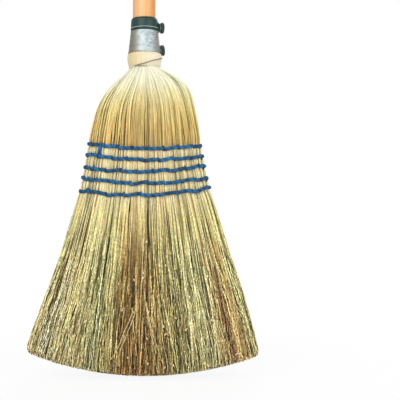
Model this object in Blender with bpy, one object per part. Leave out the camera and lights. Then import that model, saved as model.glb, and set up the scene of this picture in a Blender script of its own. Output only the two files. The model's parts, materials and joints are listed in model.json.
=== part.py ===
"""Straw broom: a bound and stitched sorghum head, clamped on a round wooden handle.

Metres, +Z up. The origin lies on the handle's axis, level with the lowest straw tips.
The front of the broom faces -Y, and its width runs along X.
"""

import math
import random

import bmesh
import bpy
import numpy as np
from mathutils import Matrix, Vector

# Clearances
SEAT_GAP = 0.0003
BUNDLE_GAP = 0.0007
STRAW_GAP = 0.0006
CUT_OVERRUN = 0.003
MERGE_DISTANCE = 0.000001

# Handle: a turned softwood pole, tapered where it enters the head
HANDLE_DIAMETER = 0.028
HANDLE_LENGTH = 1.2
HANDLE_DEPTH = 0.095
HANDLE_TOP_ROUNDING = 0.009
HANDLE_TAPER_LENGTH = 0.045
HANDLE_TIP_DIAMETER = 0.023
HANDLE_TIP_CHAMFER = 0.002

# Heights of the head, from the straw tips up
STRAW_HEIGHT = 0.369
NECK_HEIGHT = 0.0165
SLEEVE_HEIGHT = 0.0261
COLLAR_HEIGHT = 0.0152

# Layers of the neck, from the handle outwards
CORE_WALL = 0.0016
WAIST_STRAW = 0.0024
NECK_STRAW = 0.0044
WAIST_BAND_HEIGHT = 0.0062
NECK_UNDER_SLEEVE = 0.0115
CORE_ABOVE_SLEEVE_MOUTH = 0.0145
SOCKET_END_GAP = 0.001

# Straw head: widths and thicknesses are full sizes
TIP_WIDTH = 0.28
TIP_THICKNESS = 0.064
SHOULDER_THICKNESS = 0.056
STITCHED_THICKNESS = 0.042
TIP_SAG = 0.028
COVER_THICKNESS = 0.007
RIB_DEPTH = 0.0006
SHOULDER_ROLL = 0.0065
SHOULDER_ROLL_DROP = 0.013
SHOULDER_ROLL_SPREAD = 0.014

# The outline's half width, from the waist (0) to the tips (1): drop share, width share
DROP_WIDTH_SHARES = (
    (0.0, 0.0),
    (0.015, 0.035),
    (0.042, 0.13),
    (0.07, 0.21),
    (0.098, 0.27),
    (0.127, 0.313),
    (0.183, 0.364),
    (0.296, 0.42),
    (0.4645, 0.527),
    (0.69, 0.737),
    (0.915, 0.954),
    (1.0, 1.0),
)
# Drop shares at which the shoulder is thickest, and between which the stitching holds the head flat
SHOULDER_DROP_SHARE = 0.09
STITCHED_DROP_SHARES = (0.26, 0.45)
# How far the middle of a level hangs below its sides: drop share, share of the tips' sag
DROP_SAG_SHARES = ((0.0, 0.0), (0.25, 0.2), (0.45, 0.26), (1.0, 1.0))
# The section is round at the waist, and a blunter oval from this drop share on
ROUND_EXPONENT = 2.0
BLUNT_EXPONENT = 2.6
BLUNT_DROP_SHARE = 0.15

# Straw bundles round the core: sides of the shoulders, and ribs on each piece
SHOULDER_HALF_ANGLE = math.radians(38)
COVER_FACETS = 8
SHOULDER_FACETS = 6
COVER_RIBS_PER_FACET = 2
SHOULDER_RIBS_PER_FACET = 1
BUNDLE_TOP_DROP = 0.0031
UPPER_DROP_SHARES = (0.024, 0.045, 0.07, 0.098, 0.14, 0.195)

# Stitching: one twine, a turn for each row, sunk in the straw
ROW_COUNT = 5
FIRST_ROW_DROP = 0.0924
ROW_PITCH = 0.0134
ROW_GROOVE = 0.0012
TWINE_DIAMETER = 0.0042
TWINE_SEAT = 0.0008
TWINE_POINTS_PER_TURN = 24
TWINE_LINK_ANGLE = math.radians(9)
TWINE_START_ANGLE = math.radians(226)

# Neck binding: one wire, from under the sleeve down to close turns at the waist
WIRE_DIAMETER = 0.0012
WIRE_TURNS = 3
WIRE_PITCH = 0.0015
WIRE_POINTS_PER_TURN = 24
WIRE_START_DROP = 0.0047
WIRE_FIRST_DROP = 0.0092
WIRE_FIRST_TURN_SHARE = 0.6
NECK_RIBS = 20

# Skirt: loose straws below the stitching
SKIRT_BUNDLES = 6
STRAWS_ACROSS_BUNDLE = 9
STRAWS_DEEP = 6
SKIRT_SLICE = 0.005
SKIRT_SLICE_GAP = 0.0004
SKIRT_END_THICKNESS_SHARE = 0.35
SKIRT_END_POWER = 2.5
STRAW_WIDTH_SHARES = (0.66, 0.5)
STRAW_MIDDLE_SHARE = 0.45
STRAW_SHIFT_SHARE = 0.14
STRAW_TRIM = 0.006
STRAW_SEED = 11

# Metal sleeve: a rolled and seamed sheet cone
SLEEVE_WALL = 0.0007
SLEEVE_TOP_CLEARANCE = 0.0018
SLEEVE_MOUTH_SHRINK = 0.0011
SLEEVE_BEAD = 0.0002
SLEEVE_BEAD_HEIGHT = 0.0016
SLEEVE_RINGS = 4
SLEEVE_RING_DEPTH = 0.00025
SEAM_HALF_ANGLE = math.radians(9)
SEAM_RISE = 0.0007

# Collar: a moulded plastic ring with a spigot in the sleeve
COLLAR_WALL = 0.0018
COLLAR_CHAMFER = 0.0024
COLLAR_FOOT_HEIGHT = 0.0026
COLLAR_FOOT_RISE = 0.0008
COLLAR_GROOVE = 0.0005
SPIGOT_LENGTH = 0.008
BOSS_RADIUS = 0.0051
BOSS_REACH = 0.0046

# Clamping screws: a plastic knob on a steel screw, with a washer and a threaded bush
SCREW_DIAMETER = 0.004
SCREW_TIP_CHAMFER = 0.0006
BUSH_WALL = 0.0012
WASHER_DIAMETER = 0.0086
WASHER_THICKNESS = 0.0006
KNOB_DIAMETER = 0.013
KNOB_THICKNESS = 0.0037
KNOB_CHAMFER = 0.0008
KNOB_BORE_SHARE = 0.6
KNOB_FLUTES = 10
KNOB_FLUTE_DEPTH = 0.0004
SCREW_ANGLE = math.radians(12)
UPPER_SCREW_RISE = 0.0053
LOWER_SCREW_RISE = 0.0044

# Facets round a turned piece
HANDLE_SIDES = 32
RING_SIDES = 32
SMALL_SIDES = 20
KNOB_SIDES_PER_FLUTE = 3
SMOOTH_ANGLE = math.radians(35)

# Sizes that follow from those above
HANDLE_RADIUS = HANDLE_DIAMETER / 2
BORE_RADIUS = HANDLE_RADIUS + SEAT_GAP
CORE_RADIUS = BORE_RADIUS + CORE_WALL
BUNDLE_INNER_RADIUS = CORE_RADIUS + SEAT_GAP
WAIST_RADIUS = BUNDLE_INNER_RADIUS + WAIST_STRAW
NECK_RADIUS = BUNDLE_INNER_RADIUS + NECK_STRAW
OUTLINE_DROP = STRAW_HEIGHT - TIP_SAG
WAIST_BAND_LOW = STRAW_HEIGHT - WAIST_BAND_HEIGHT / 2 + SEAT_GAP
WAIST_BAND_TOP = WAIST_BAND_LOW + WAIST_BAND_HEIGHT
SLEEVE_LOW = STRAW_HEIGHT + NECK_HEIGHT
SLEEVE_TOP = SLEEVE_LOW + SLEEVE_HEIGHT
COLLAR_LOW = SLEEVE_TOP + SEAT_GAP
COLLAR_TOP = COLLAR_LOW + COLLAR_HEIGHT
HANDLE_LOW = COLLAR_TOP - HANDLE_DEPTH
HANDLE_TOP = HANDLE_LOW + HANDLE_LENGTH
SLEEVE_TOP_RADIUS = HANDLE_RADIUS + SLEEVE_TOP_CLEARANCE + SLEEVE_WALL
SLEEVE_LOW_RADIUS = NECK_RADIUS - SLEEVE_MOUTH_SHRINK
SPIGOT_RADIUS = SLEEVE_TOP_RADIUS - SLEEVE_WALL - SEAT_GAP
STRAW_BAND_END_DROP = FIRST_ROW_DROP + (ROW_COUNT - 0.5) * ROW_PITCH
SKIRT_TOP_DROP = STRAW_BAND_END_DROP + SKIRT_SLICE_GAP
SKIRT_ROOT_DROP = SKIRT_TOP_DROP + SKIRT_SLICE


def principled(name, colour, roughness, metallic=0.0):
    """A plain material of one colour, given as linear red, green and blue."""
    material = bpy.data.materials.new(name)
    material.use_nodes = True
    shader = material.node_tree.nodes["Principled BSDF"]
    shader.inputs["Base Color"].default_value = (*colour, 1.0)
    shader.inputs["Roughness"].default_value = roughness
    shader.inputs["Metallic"].default_value = metallic
    material.diffuse_color = (*colour, 1.0)
    return material


def add_object(name, mesh, material, parent=None):
    """Turns a bmesh into an object with outward faces, smooth where the form is round."""
    bmesh.ops.recalc_face_normals(mesh, faces=mesh.faces)
    data = bpy.data.meshes.new(name)
    mesh.to_mesh(data)
    mesh.free()
    data.shade_smooth()
    data.set_sharp_from_angle(angle=SMOOTH_ANGLE)
    data.materials.append(material)
    piece = bpy.data.objects.new(name, data)
    bpy.context.scene.collection.objects.link(piece)
    piece.parent = parent
    return piece


def turned(name, outline, sides, material, parent=None):
    """Spins an outline of (radius, height) points round Z. One that starts on the axis is open there."""
    mesh = bmesh.new()
    points = [mesh.verts.new((radius, 0.0, height)) for radius, height in outline]
    solid = outline[0][0] == 0
    ends = points[1:] if solid else points[1:] + points[:1]
    edges = [mesh.edges.new(pair) for pair in zip(points, ends)]
    bmesh.ops.spin(
        mesh, geom=points + edges, cent=(0, 0, 0), axis=(0, 0, 1),
        angle=math.tau, steps=sides, use_merge=True,
    )
    bmesh.ops.remove_doubles(mesh, verts=mesh.verts, dist=MERGE_DISTANCE)
    return add_object(name, mesh, material, parent)


def lofted(name, rings, material, parent=None):
    """Skins rings of equally many points, in order, and closes the first and the last with a face."""
    mesh = bmesh.new()
    rows = [[mesh.verts.new(point) for point in ring] for ring in rings]
    for above, below in zip(rows, rows[1:]):
        for left in range(len(above)):
            right = (left + 1) % len(above)
            mesh.faces.new((above[left], above[right], below[right], below[left]))
    mesh.faces.new(rows[0])
    mesh.faces.new(rows[-1])
    return add_object(name, mesh, material, parent)


def circle(radius, height, angles):
    """Points of a level circle, or of a fluted one where radius is a function of the angle."""
    sizes = [radius(angle) if callable(radius) else radius for angle in angles]
    return [
        Vector((size * math.cos(angle), size * math.sin(angle), height))
        for size, angle in zip(sizes, angles)
    ]


def evenly(sides):
    """Angles of a ring of this many sides."""
    return [math.tau * side / sides for side in range(sides)]


def tube(name, points, diameter, material):
    """A round tube along a line of points, with closed ends."""
    curve = bpy.data.curves.new(name, "CURVE")
    curve.dimensions = "3D"
    curve.bevel_depth = diameter / 2
    curve.bevel_resolution = 1
    curve.use_fill_caps = True
    spline = curve.splines.new("POLY")
    spline.points.add(len(points) - 1)
    for target, point in zip(spline.points, points):
        target.co = (*point, 1.0)
    curve.materials.append(material)
    piece = bpy.data.objects.new(name, curve)
    bpy.context.scene.collection.objects.link(piece)
    return piece


def least_gap_to_itself(points, diameter, points_per_turn):
    """The least free distance between a winding's turns, measured on its points."""
    line = np.array(points)
    apart = points_per_turn // 2
    gaps = [
        np.linalg.norm(line[index + apart:] - line[index], axis=1).min()
        for index in range(len(line) - apart)
    ]
    return min(gaps) - diameter


def cut(piece, cutter, operation="DIFFERENCE"):
    """Adds a Boolean of the cutter to a piece, and hides the cutter."""
    boolean = piece.modifiers.new(cutter.name, "BOOLEAN")
    boolean.operation = operation
    boolean.solver = "EXACT"
    boolean.object = cutter
    cutter.hide_render = True
    cutter.display_type = "WIRE"


def smooth_share(share):
    """Eases from 0 to 1 with level ends."""
    share = min(max(share, 0.0), 1.0)
    return share * share * (3 - 2 * share)


def half_width(drop):
    """Half the straw's width at a drop below the waist."""
    drops, widths = zip(*DROP_WIDTH_SHARES)
    share = float(np.interp(drop / OUTLINE_DROP, drops, widths))
    return WAIST_RADIUS + share * (TIP_WIDTH / 2 - WAIST_RADIUS)


def half_thickness(drop):
    """Half the straw's thickness: round waist, full shoulder, flat stitched band, spread tips."""
    share = drop / OUTLINE_DROP
    stitched_from, stitched_to = STITCHED_DROP_SHARES
    steps = (
        (0.0, WAIST_RADIUS),
        (SHOULDER_DROP_SHARE, SHOULDER_THICKNESS / 2),
        (stitched_from, STITCHED_THICKNESS / 2),
        (stitched_to, STITCHED_THICKNESS / 2),
        (1.0, TIP_THICKNESS / 2),
    )
    for (low, start), (high, end) in zip(steps, steps[1:]):
        if share <= high:
            return start + (end - start) * smooth_share((share - low) / (high - low))
    return steps[-1][1]


def level(x, drop):
    """Height of a level of the straw: its middle hangs lower than its sides."""
    drops, sags = zip(*DROP_SAG_SHARES)
    sag = TIP_SAG * float(np.interp(drop / OUTLINE_DROP, drops, sags))
    aside = min(abs(x) / half_width(drop), 1.0)
    return STRAW_HEIGHT - drop - sag * (1 - aside * aside)


def section_point(angle, drop, inset=0.0):
    """A point of the head's blunt oval section, moved in by inset. Angle 0 is +X, and the front is at 270."""
    blunt = smooth_share(drop / OUTLINE_DROP / BLUNT_DROP_SHARE)
    power = 2 / (ROUND_EXPONENT + (BLUNT_EXPONENT - ROUND_EXPONENT) * blunt)
    cosine, sine = math.cos(angle), math.sin(angle)
    x = (half_width(drop) - inset) * math.copysign(abs(cosine) ** power, cosine)
    y = (half_thickness(drop) - inset) * math.copysign(abs(sine) ** power, sine)
    return Vector((x, y, level(x, drop)))


def section_speed(angle, drop):
    """How far the section's point moves for each radian of angle."""
    step = math.radians(1)
    ahead = section_point(angle + step, drop)
    behind = section_point(angle - step, drop)
    return (ahead - behind).length / (2 * step)


def row_drop(row):
    """Drop of a stitched row, counted from 0 at the top."""
    return FIRST_ROW_DROP + row * ROW_PITCH


def groove(drop):
    """How deep the stitching draws the straw in: fully at a row, and not at all midway between rows."""
    rows_down = (drop - FIRST_ROW_DROP) / ROW_PITCH
    nearest = min(max(round(rows_down), 0), ROW_COUNT - 1)
    away = min(abs(rows_down - nearest) * 2, 1.0)
    return ROW_GROOVE * (1 - away)


def cover_thickness(drop):
    """Thickness of the outer straw, from the bound waist to its full depth lower down."""
    share = smooth_share(drop / OUTLINE_DROP / BLUNT_DROP_SHARE)
    return WAIST_STRAW + (COVER_THICKNESS - WAIST_STRAW) * share


def bundle_drops():
    """Levels at which the outer straw is drawn: the shoulder, then each row and midway between rows."""
    upper = [share * OUTLINE_DROP for share in UPPER_DROP_SHARES]
    half_rows = range(-1, 2 * ROW_COUNT)
    return [BUNDLE_TOP_DROP] + upper + [FIRST_ROW_DROP + half * ROW_PITCH / 2 for half in half_rows]


def facet_angles(start, end, facets):
    """The angles that part a stretch of the section into facets, ends included."""
    return [start + (end - start) * facet / facets for facet in range(facets + 1)]


def bundle(name, start, end, facets, ribs_per_facet, material, roll=0.0):
    """A shell of ribbed straw round the core, from one angle to another, with one smooth inner facet
    behind each few ribs. Roll is how far its shoulder stands out."""
    steps_per_facet = 2 * ribs_per_facet
    mesh = bmesh.new()
    outer_rows, inner_rows = [], []
    for drop in bundle_drops():
        trim_start = BUNDLE_GAP / 2 / section_speed(start, drop)
        trim_end = BUNDLE_GAP / 2 / section_speed(end, drop)
        outer = facet_angles(start + trim_start, end - trim_end, facets * steps_per_facet)
        inner = outer[::steps_per_facet]
        bulge = math.exp(-(((drop - SHOULDER_ROLL_DROP) / SHOULDER_ROLL_SPREAD) ** 2))
        outer_row = []
        for step, angle in enumerate(outer):
            inset = groove(drop) + RIB_DEPTH * (step % 2) - roll * bulge * math.cos(angle) ** 2
            outer_row.append(mesh.verts.new(section_point(angle, drop, inset)))
        outer_rows.append(outer_row)
        depth = cover_thickness(drop)
        inner_rows.append([mesh.verts.new(section_point(angle, drop, depth)) for angle in inner])
    for rows in (outer_rows, inner_rows):
        for above, below in zip(rows, rows[1:]):
            for left in range(len(above) - 1):
                mesh.faces.new((above[left], above[left + 1], below[left + 1], below[left]))
    for outer_row, inner_row in ((outer_rows[0], inner_rows[0]), (outer_rows[-1], inner_rows[-1])):
        for facet in range(facets):
            ribs = outer_row[facet * steps_per_facet:(facet + 1) * steps_per_facet + 1]
            mesh.faces.new(ribs + [inner_row[facet + 1], inner_row[facet]])
    for side in (0, -1):
        for line in range(len(outer_rows) - 1):
            mesh.faces.new((
                outer_rows[line][side], outer_rows[line + 1][side],
                inner_rows[line + 1][side], inner_rows[line][side],
            ))
    return add_object(name, mesh, material)


def core_angles():
    """The core's facets lie behind those of the bundles round it."""
    shoulder, half_turn = SHOULDER_HALF_ANGLE, math.pi
    stretches = (
        (-shoulder, shoulder, SHOULDER_FACETS),
        (shoulder, half_turn - shoulder, COVER_FACETS),
        (half_turn - shoulder, half_turn + shoulder, SHOULDER_FACETS),
        (half_turn + shoulder, math.tau - shoulder, COVER_FACETS),
    )
    return [angle for stretch in stretches for angle in facet_angles(*stretch)[:-1]]


def straw_core(material):
    """The straw packed round the handle, with the handle's tapered socket."""
    angles = core_angles()
    rings = []
    for drop in reversed(bundle_drops()[1:]):
        depth = cover_thickness(drop) + STRAW_GAP
        rings.append([section_point(angle, drop, depth) for angle in angles])
    core_top = SLEEVE_LOW + CORE_ABOVE_SLEEVE_MOUTH
    tip_radius = HANDLE_TIP_DIAMETER / 2 + SEAT_GAP
    rings.append(circle(CORE_RADIUS, STRAW_HEIGHT - BUNDLE_TOP_DROP, angles))
    rings.append(circle(CORE_RADIUS, core_top, angles))
    rings.append(circle(BORE_RADIUS, core_top, angles))
    rings.append(circle(BORE_RADIUS, HANDLE_LOW + HANDLE_TAPER_LENGTH, angles))
    rings.append(circle(tip_radius, HANDLE_LOW - SOCKET_END_GAP, angles))
    return lofted("straw_core", rings, material)


def neck_outline():
    """The neck's bulge, from the waist band up into the sleeve, as (radius, height)."""
    inside_sleeve = SLEEVE_WALL + SEAT_GAP
    mouth = SLEEVE_LOW_RADIUS - inside_sleeve
    top = SLEEVE_LOW + NECK_UNDER_SLEEVE
    bulge_low, bulge_top = WAIST_BAND_TOP, SLEEVE_LOW
    rise = bulge_top - bulge_low
    bulge_shares = ((0.15, 0.7), (0.4, 1.0), (0.75, 0.92), (0.97, 0.7))
    bulge = [
        (WAIST_RADIUS + (NECK_RADIUS - WAIST_RADIUS) * out, bulge_low + rise * up)
        for up, out in bulge_shares
    ]
    return [
        (WAIST_RADIUS - RIB_DEPTH, WAIST_BAND_LOW),
        (WAIST_RADIUS, WAIST_BAND_LOW + RIB_DEPTH),
        (WAIST_RADIUS, WAIST_BAND_TOP),
        *bulge,
        (mouth, SLEEVE_LOW - SEAT_GAP),
        (sleeve_radius(top) - inside_sleeve, top),
    ]


def neck_wrap(material):
    """The stalk ends that wrap the neck: a ribbed tube that swells between the waist and the sleeve."""
    angles = evenly(2 * NECK_RIBS)
    rings = []
    for radius, height in neck_outline():
        ring = circle(radius, height, angles)
        valley = circle(radius - RIB_DEPTH, height, angles)
        rings.append([valley[step] if step % 2 else ring[step] for step in range(len(angles))])
    inner_top = circle(BUNDLE_INNER_RADIUS, SLEEVE_LOW + NECK_UNDER_SLEEVE, angles)
    inner_low = circle(BUNDLE_INNER_RADIUS, WAIST_BAND_LOW, angles)
    mesh = bmesh.new()
    rows = [[mesh.verts.new(point) for point in ring] for ring in [*rings, inner_top, inner_low]]
    for above, below in zip(rows, rows[1:] + rows[:1]):
        for left in range(len(angles)):
            right = (left + 1) % len(angles)
            mesh.faces.new((above[left], above[right], below[right], below[left]))
    return add_object("neck_wrap", mesh, material)


def neck_radius(height):
    """Radius of the neck at a height."""
    radii, heights = zip(*neck_outline())
    return float(np.interp(height, heights, radii))


def neck_wire(material):
    """The binding wire: it crosses the neck on the slant, and then lies in close turns at the waist."""
    count = round(WIRE_TURNS * WIRE_POINTS_PER_TURN)
    points = []
    for index in range(count + 1):
        turn = index / WIRE_POINTS_PER_TURN
        slant = WIRE_FIRST_DROP * smooth_share(turn / WIRE_FIRST_TURN_SHARE)
        height = SLEEVE_LOW - WIRE_START_DROP - slant - WIRE_PITCH * turn
        radius = max(neck_radius(height), WAIST_RADIUS) + SEAT_GAP + WIRE_DIAMETER / 2
        angle = -math.tau * turn
        points.append(Vector((radius * math.cos(angle), radius * math.sin(angle), height)))
    gap = least_gap_to_itself(points, WIRE_DIAMETER, WIRE_POINTS_PER_TURN)
    print(f"neck wire: least gap to itself {gap * 1000:.2f} mm")
    return tube("neck_wire", points, WIRE_DIAMETER, material)


def on_straw(angle, drop, off):
    """A point off the stitched straw's surface, outwards and level, and the surface's own height there."""
    here = section_point(angle, drop, groove(drop))
    step = math.radians(1)
    along = section_point(angle + step, drop) - section_point(angle - step, drop)
    outward = Vector((along.y, -along.x, 0.0)).normalized()
    return here + outward * off


def stitch_twine(material):
    """The stitching twine: a turn round the head for each row, and a slanting link to the next row."""
    off = TWINE_DIAMETER / 2 + TWINE_SEAT
    turn = math.tau - TWINE_LINK_ANGLE
    points = []
    for row in range(ROW_COUNT):
        for angle in facet_angles(TWINE_START_ANGLE, TWINE_START_ANGLE + turn, TWINE_POINTS_PER_TURN - 1):
            points.append(on_straw(angle, row_drop(row), off))
        if row < ROW_COUNT - 1:
            link_angle = TWINE_START_ANGLE - TWINE_LINK_ANGLE / 2
            points.append(on_straw(link_angle, row_drop(row + 0.5), off))
    gap = least_gap_to_itself(points, TWINE_DIAMETER, TWINE_POINTS_PER_TURN)
    print(f"stitch twine: least gap to itself {gap * 1000:.2f} mm")
    return tube("stitch_twine", points, TWINE_DIAMETER, material)


def skirt_point(across, deep, drop):
    """A point among the loose straws: across and deep run from -1 to 1 over the width and the thickness."""
    x = across * half_width(drop)
    thinning = (1 - SKIRT_END_THICKNESS_SHARE) * abs(across) ** SKIRT_END_POWER
    y = deep * half_thickness(drop) * (1 - thinning)
    return Vector((x, y, level(x, drop)))


def skirt_bundle(name, first, last, chance, material):
    """Loose straws that grow from one slice of the stitched head and spread to their trimmed tips."""
    trim = BUNDLE_GAP / 2 / half_width(SKIRT_TOP_DROP)
    columns = facet_angles(first + trim, last - trim, STRAWS_ACROSS_BUNDLE)
    depths = facet_angles(-1.0, 1.0, STRAWS_DEEP)
    mesh = bmesh.new()
    roots = [
        [mesh.verts.new(skirt_point(across, deep, SKIRT_ROOT_DROP)) for deep in depths]
        for across in columns
    ]
    tops = [
        [mesh.verts.new(skirt_point(across, deep, SKIRT_TOP_DROP)) for deep in (-1.0, 1.0)]
        for across in columns
    ]
    for (top, root), (next_top, next_root) in zip(zip(tops, roots), zip(tops[1:], roots[1:])):
        mesh.faces.new((top[0], next_top[0], next_top[1], top[1]))
        mesh.faces.new((top[0], next_top[0], next_root[0], root[0]))
        mesh.faces.new((top[1], next_top[1], next_root[-1], root[-1]))
    for side in (0, -1):
        mesh.faces.new([*tops[side], *reversed(roots[side])])
    for left in range(STRAWS_ACROSS_BUNDLE):
        for near in range(STRAWS_DEEP):
            corners = (
                roots[left][near], roots[left + 1][near],
                roots[left + 1][near + 1], roots[left][near + 1],
            )
            grow_straw(mesh, corners, columns, depths, left, near, chance)
    return add_object(name, mesh, material)


def grow_straw(mesh, corners, columns, depths, left, near, chance):
    """Carries one cell of the slice down to a straw's tip, narrower and a little aside on the way."""
    across_cell = columns[left + 1] - columns[left]
    deep_cell = depths[near + 1] - depths[near]
    across = (columns[left] + columns[left + 1]) / 2
    deep = (depths[near] + depths[near + 1]) / 2
    shift_across = chance.uniform(-1, 1) * STRAW_SHIFT_SHARE * across_cell
    shift_deep = chance.uniform(-1, 1) * STRAW_SHIFT_SHARE * deep_cell
    tip_drop = OUTLINE_DROP - chance.random() * STRAW_TRIM
    middle_drop = SKIRT_ROOT_DROP + STRAW_MIDDLE_SHARE * (tip_drop - SKIRT_ROOT_DROP)
    above = corners
    for drop, width_share in zip((middle_drop, tip_drop), STRAW_WIDTH_SHARES):
        wide, thick = width_share * across_cell / 2, width_share * deep_cell / 2
        middle_across, middle_deep = across + shift_across, deep + shift_deep
        signs = ((-1, -1), (1, -1), (1, 1), (-1, 1))
        below = [
            mesh.verts.new(skirt_point(middle_across + a * wide, middle_deep + d * thick, drop))
            for a, d in signs
        ]
        for corner in range(len(signs)):
            following = (corner + 1) % len(signs)
            mesh.faces.new((above[corner], above[following], below[following], below[corner]))
        above = below
    mesh.faces.new(above)


def skirt(material):
    """The loose straws below the stitching, in bundles side by side."""
    chance = random.Random(STRAW_SEED)
    bounds = facet_angles(-1.0, 1.0, SKIRT_BUNDLES)
    for number, (first, last) in enumerate(zip(bounds, bounds[1:]), start=1):
        skirt_bundle(f"skirt_straw_{number}", first, last, chance, material)


def sleeve_radius(height):
    """Outer radius of the sleeve's cone at a height, without its beads."""
    share = (height - SLEEVE_LOW) / SLEEVE_HEIGHT
    return SLEEVE_LOW_RADIUS + (SLEEVE_TOP_RADIUS - SLEEVE_LOW_RADIUS) * share


def metal_sleeve(material):
    """The sheet sleeve: a cone with a beaded mouth, rolled rings and a folded seam at the back."""
    def stands_out(radius):
        def at(angle):
            behind = abs(angle - math.pi / 2)
            return radius + (SEAM_RISE if behind < SEAM_HALF_ANGLE else 0.0)
        return at

    angles = evenly(RING_SIDES)
    outside = [
        (SLEEVE_BEAD, SLEEVE_LOW),
        (SLEEVE_BEAD, SLEEVE_LOW + SLEEVE_BEAD_HEIGHT / 2),
        (0.0, SLEEVE_LOW + SLEEVE_BEAD_HEIGHT),
    ]
    ring_low = SLEEVE_LOW + 2 * SLEEVE_BEAD_HEIGHT
    ring_pitch = (SLEEVE_TOP - ring_low) / SLEEVE_RINGS
    for ring in range(SLEEVE_RINGS):
        outside.append((0.0, ring_low + ring * ring_pitch))
        outside.append((-SLEEVE_RING_DEPTH, ring_low + (ring + 0.5) * ring_pitch))
    outside.append((0.0, SLEEVE_TOP))
    rings = [
        circle(stands_out(sleeve_radius(height) + out), height, angles) for out, height in outside
    ]
    for height in (SLEEVE_TOP, SLEEVE_LOW):
        rings.append(circle(sleeve_radius(height) - SLEEVE_WALL, height, angles))
    mesh = bmesh.new()
    rows = [[mesh.verts.new(point) for point in ring] for ring in rings]
    for above, below in zip(rows, rows[1:] + rows[:1]):
        for left in range(len(angles)):
            right = (left + 1) % len(angles)
            mesh.faces.new((above[left], above[right], below[right], below[left]))
    return add_object("metal_sleeve", mesh, material)


def collar_ring(material):
    """The plastic collar: chamfered top, grooved foot on the sleeve's edge, and a spigot inside the sleeve."""
    wall_radius = BORE_RADIUS + COLLAR_WALL
    foot_radius = wall_radius + COLLAR_FOOT_RISE
    foot_top = COLLAR_LOW + COLLAR_FOOT_HEIGHT
    outline = [
        (BORE_RADIUS, COLLAR_LOW - SPIGOT_LENGTH),
        (SPIGOT_RADIUS, COLLAR_LOW - SPIGOT_LENGTH),
        (SPIGOT_RADIUS, COLLAR_LOW),
        (foot_radius, COLLAR_LOW),
        (foot_radius, foot_top - COLLAR_GROOVE),
        (wall_radius - COLLAR_GROOVE, foot_top),
        (wall_radius - COLLAR_GROOVE, foot_top + COLLAR_GROOVE),
        (wall_radius, foot_top + 2 * COLLAR_GROOVE),
        (wall_radius, COLLAR_TOP - COLLAR_CHAMFER),
        ((BORE_RADIUS + wall_radius) / 2, COLLAR_TOP),
        (BORE_RADIUS, COLLAR_TOP),
    ]
    return turned("collar_ring", outline, RING_SIDES, material)


def screw_axis(name, radius, height, tilt):
    """An empty where a screw's axis meets the surface that carries its washer, with +Z outwards."""
    axis = bpy.data.objects.new(name, None)
    bpy.context.scene.collection.objects.link(axis)
    outward = Matrix.Rotation(SCREW_ANGLE, 4, "Z") @ Matrix.Rotation(math.pi / 2 - tilt, 4, "Y")
    place = Matrix.Rotation(SCREW_ANGLE, 4, "Z") @ Vector((radius, 0.0, height))
    axis.matrix_world = Matrix.Translation(place) @ outward
    return axis


def rod(name, radius, low, high, material, parent):
    """A plain round bar along its parent's Z."""
    outline = [(0.0, low), (radius, low), (radius, high), (0.0, high)]
    return turned(name, outline, SMALL_SIDES, material, parent)


def screw_knob(name, foot, material, axis):
    """The fluted knob of a clamping screw, with the blind bore that the screw is moulded into."""
    angles = evenly(KNOB_FLUTES * KNOB_SIDES_PER_FLUTE)

    def fluted(radius):
        return lambda angle: radius - KNOB_FLUTE_DEPTH * (1 - math.cos(KNOB_FLUTES * angle)) / 2

    bore = SCREW_DIAMETER / 2 + SEAT_GAP
    top = foot + KNOB_THICKNESS
    radius = KNOB_DIAMETER / 2
    rings = [
        circle(bore, foot + KNOB_BORE_SHARE * KNOB_THICKNESS, angles),
        circle(bore, foot, angles),
        circle(fluted(radius - KNOB_CHAMFER), foot, angles),
        circle(fluted(radius), foot + KNOB_CHAMFER, angles),
        circle(fluted(radius), top - KNOB_CHAMFER, angles),
        circle(fluted(radius - KNOB_CHAMFER), top, angles),
    ]
    return lofted(name, rings, material, axis)


def clamp_screw(prefix, axis, reach, materials):
    """One clamping screw: bush, washer, screw and knob along the axis. Reach is how far in the handle lies."""
    screw_radius = SCREW_DIAMETER / 2
    bore = screw_radius + SEAT_GAP
    bush_radius = bore + BUSH_WALL
    bush_low, bush_top = -reach + 2 * SEAT_GAP, -SEAT_GAP
    turned(f"{prefix}_threaded_bush", [
        (bore, bush_low), (bush_radius, bush_low), (bush_radius, bush_top), (bore, bush_top),
    ], SMALL_SIDES, materials["brass"], axis)
    washer_low = SEAT_GAP
    washer_top = washer_low + WASHER_THICKNESS
    turned(f"{prefix}_washer", [
        (bore, washer_low), (WASHER_DIAMETER / 2, washer_low),
        (WASHER_DIAMETER / 2, washer_top), (bore, washer_top),
    ], SMALL_SIDES, materials["zinc"], axis)
    knob_foot = washer_top + SEAT_GAP
    tip = -reach + SEAT_GAP
    head = knob_foot + KNOB_BORE_SHARE * KNOB_THICKNESS - SEAT_GAP
    turned(f"{prefix}_screw", [
        (0.0, tip), (screw_radius - SCREW_TIP_CHAMFER, tip),
        (screw_radius, tip + SCREW_TIP_CHAMFER), (screw_radius, head), (0.0, head),
    ], SMALL_SIDES, materials["zinc"], axis)
    screw_knob(f"{prefix}_knob", knob_foot, materials["collar"], axis)
    return rod(
        f"{prefix}_screw_hole", bush_radius + SEAT_GAP,
        -reach - CUT_OVERRUN, CUT_OVERRUN, materials["collar"], axis,
    )


def upper_clamp(collar, materials):
    """The collar's boss and its screw."""
    face = HANDLE_RADIUS + BOSS_REACH
    axis = screw_axis("upper_screw_axis", face, COLLAR_LOW + UPPER_SCREW_RISE, 0.0)
    root = -(BOSS_REACH - SEAT_GAP - COLLAR_WALL / 3)
    boss = rod("collar_boss", BOSS_RADIUS, root, 0.0, materials["collar"], axis)
    hole = clamp_screw("upper", axis, BOSS_REACH, materials)
    cut(collar, boss, "UNION")
    cut(collar, hole)


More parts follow.
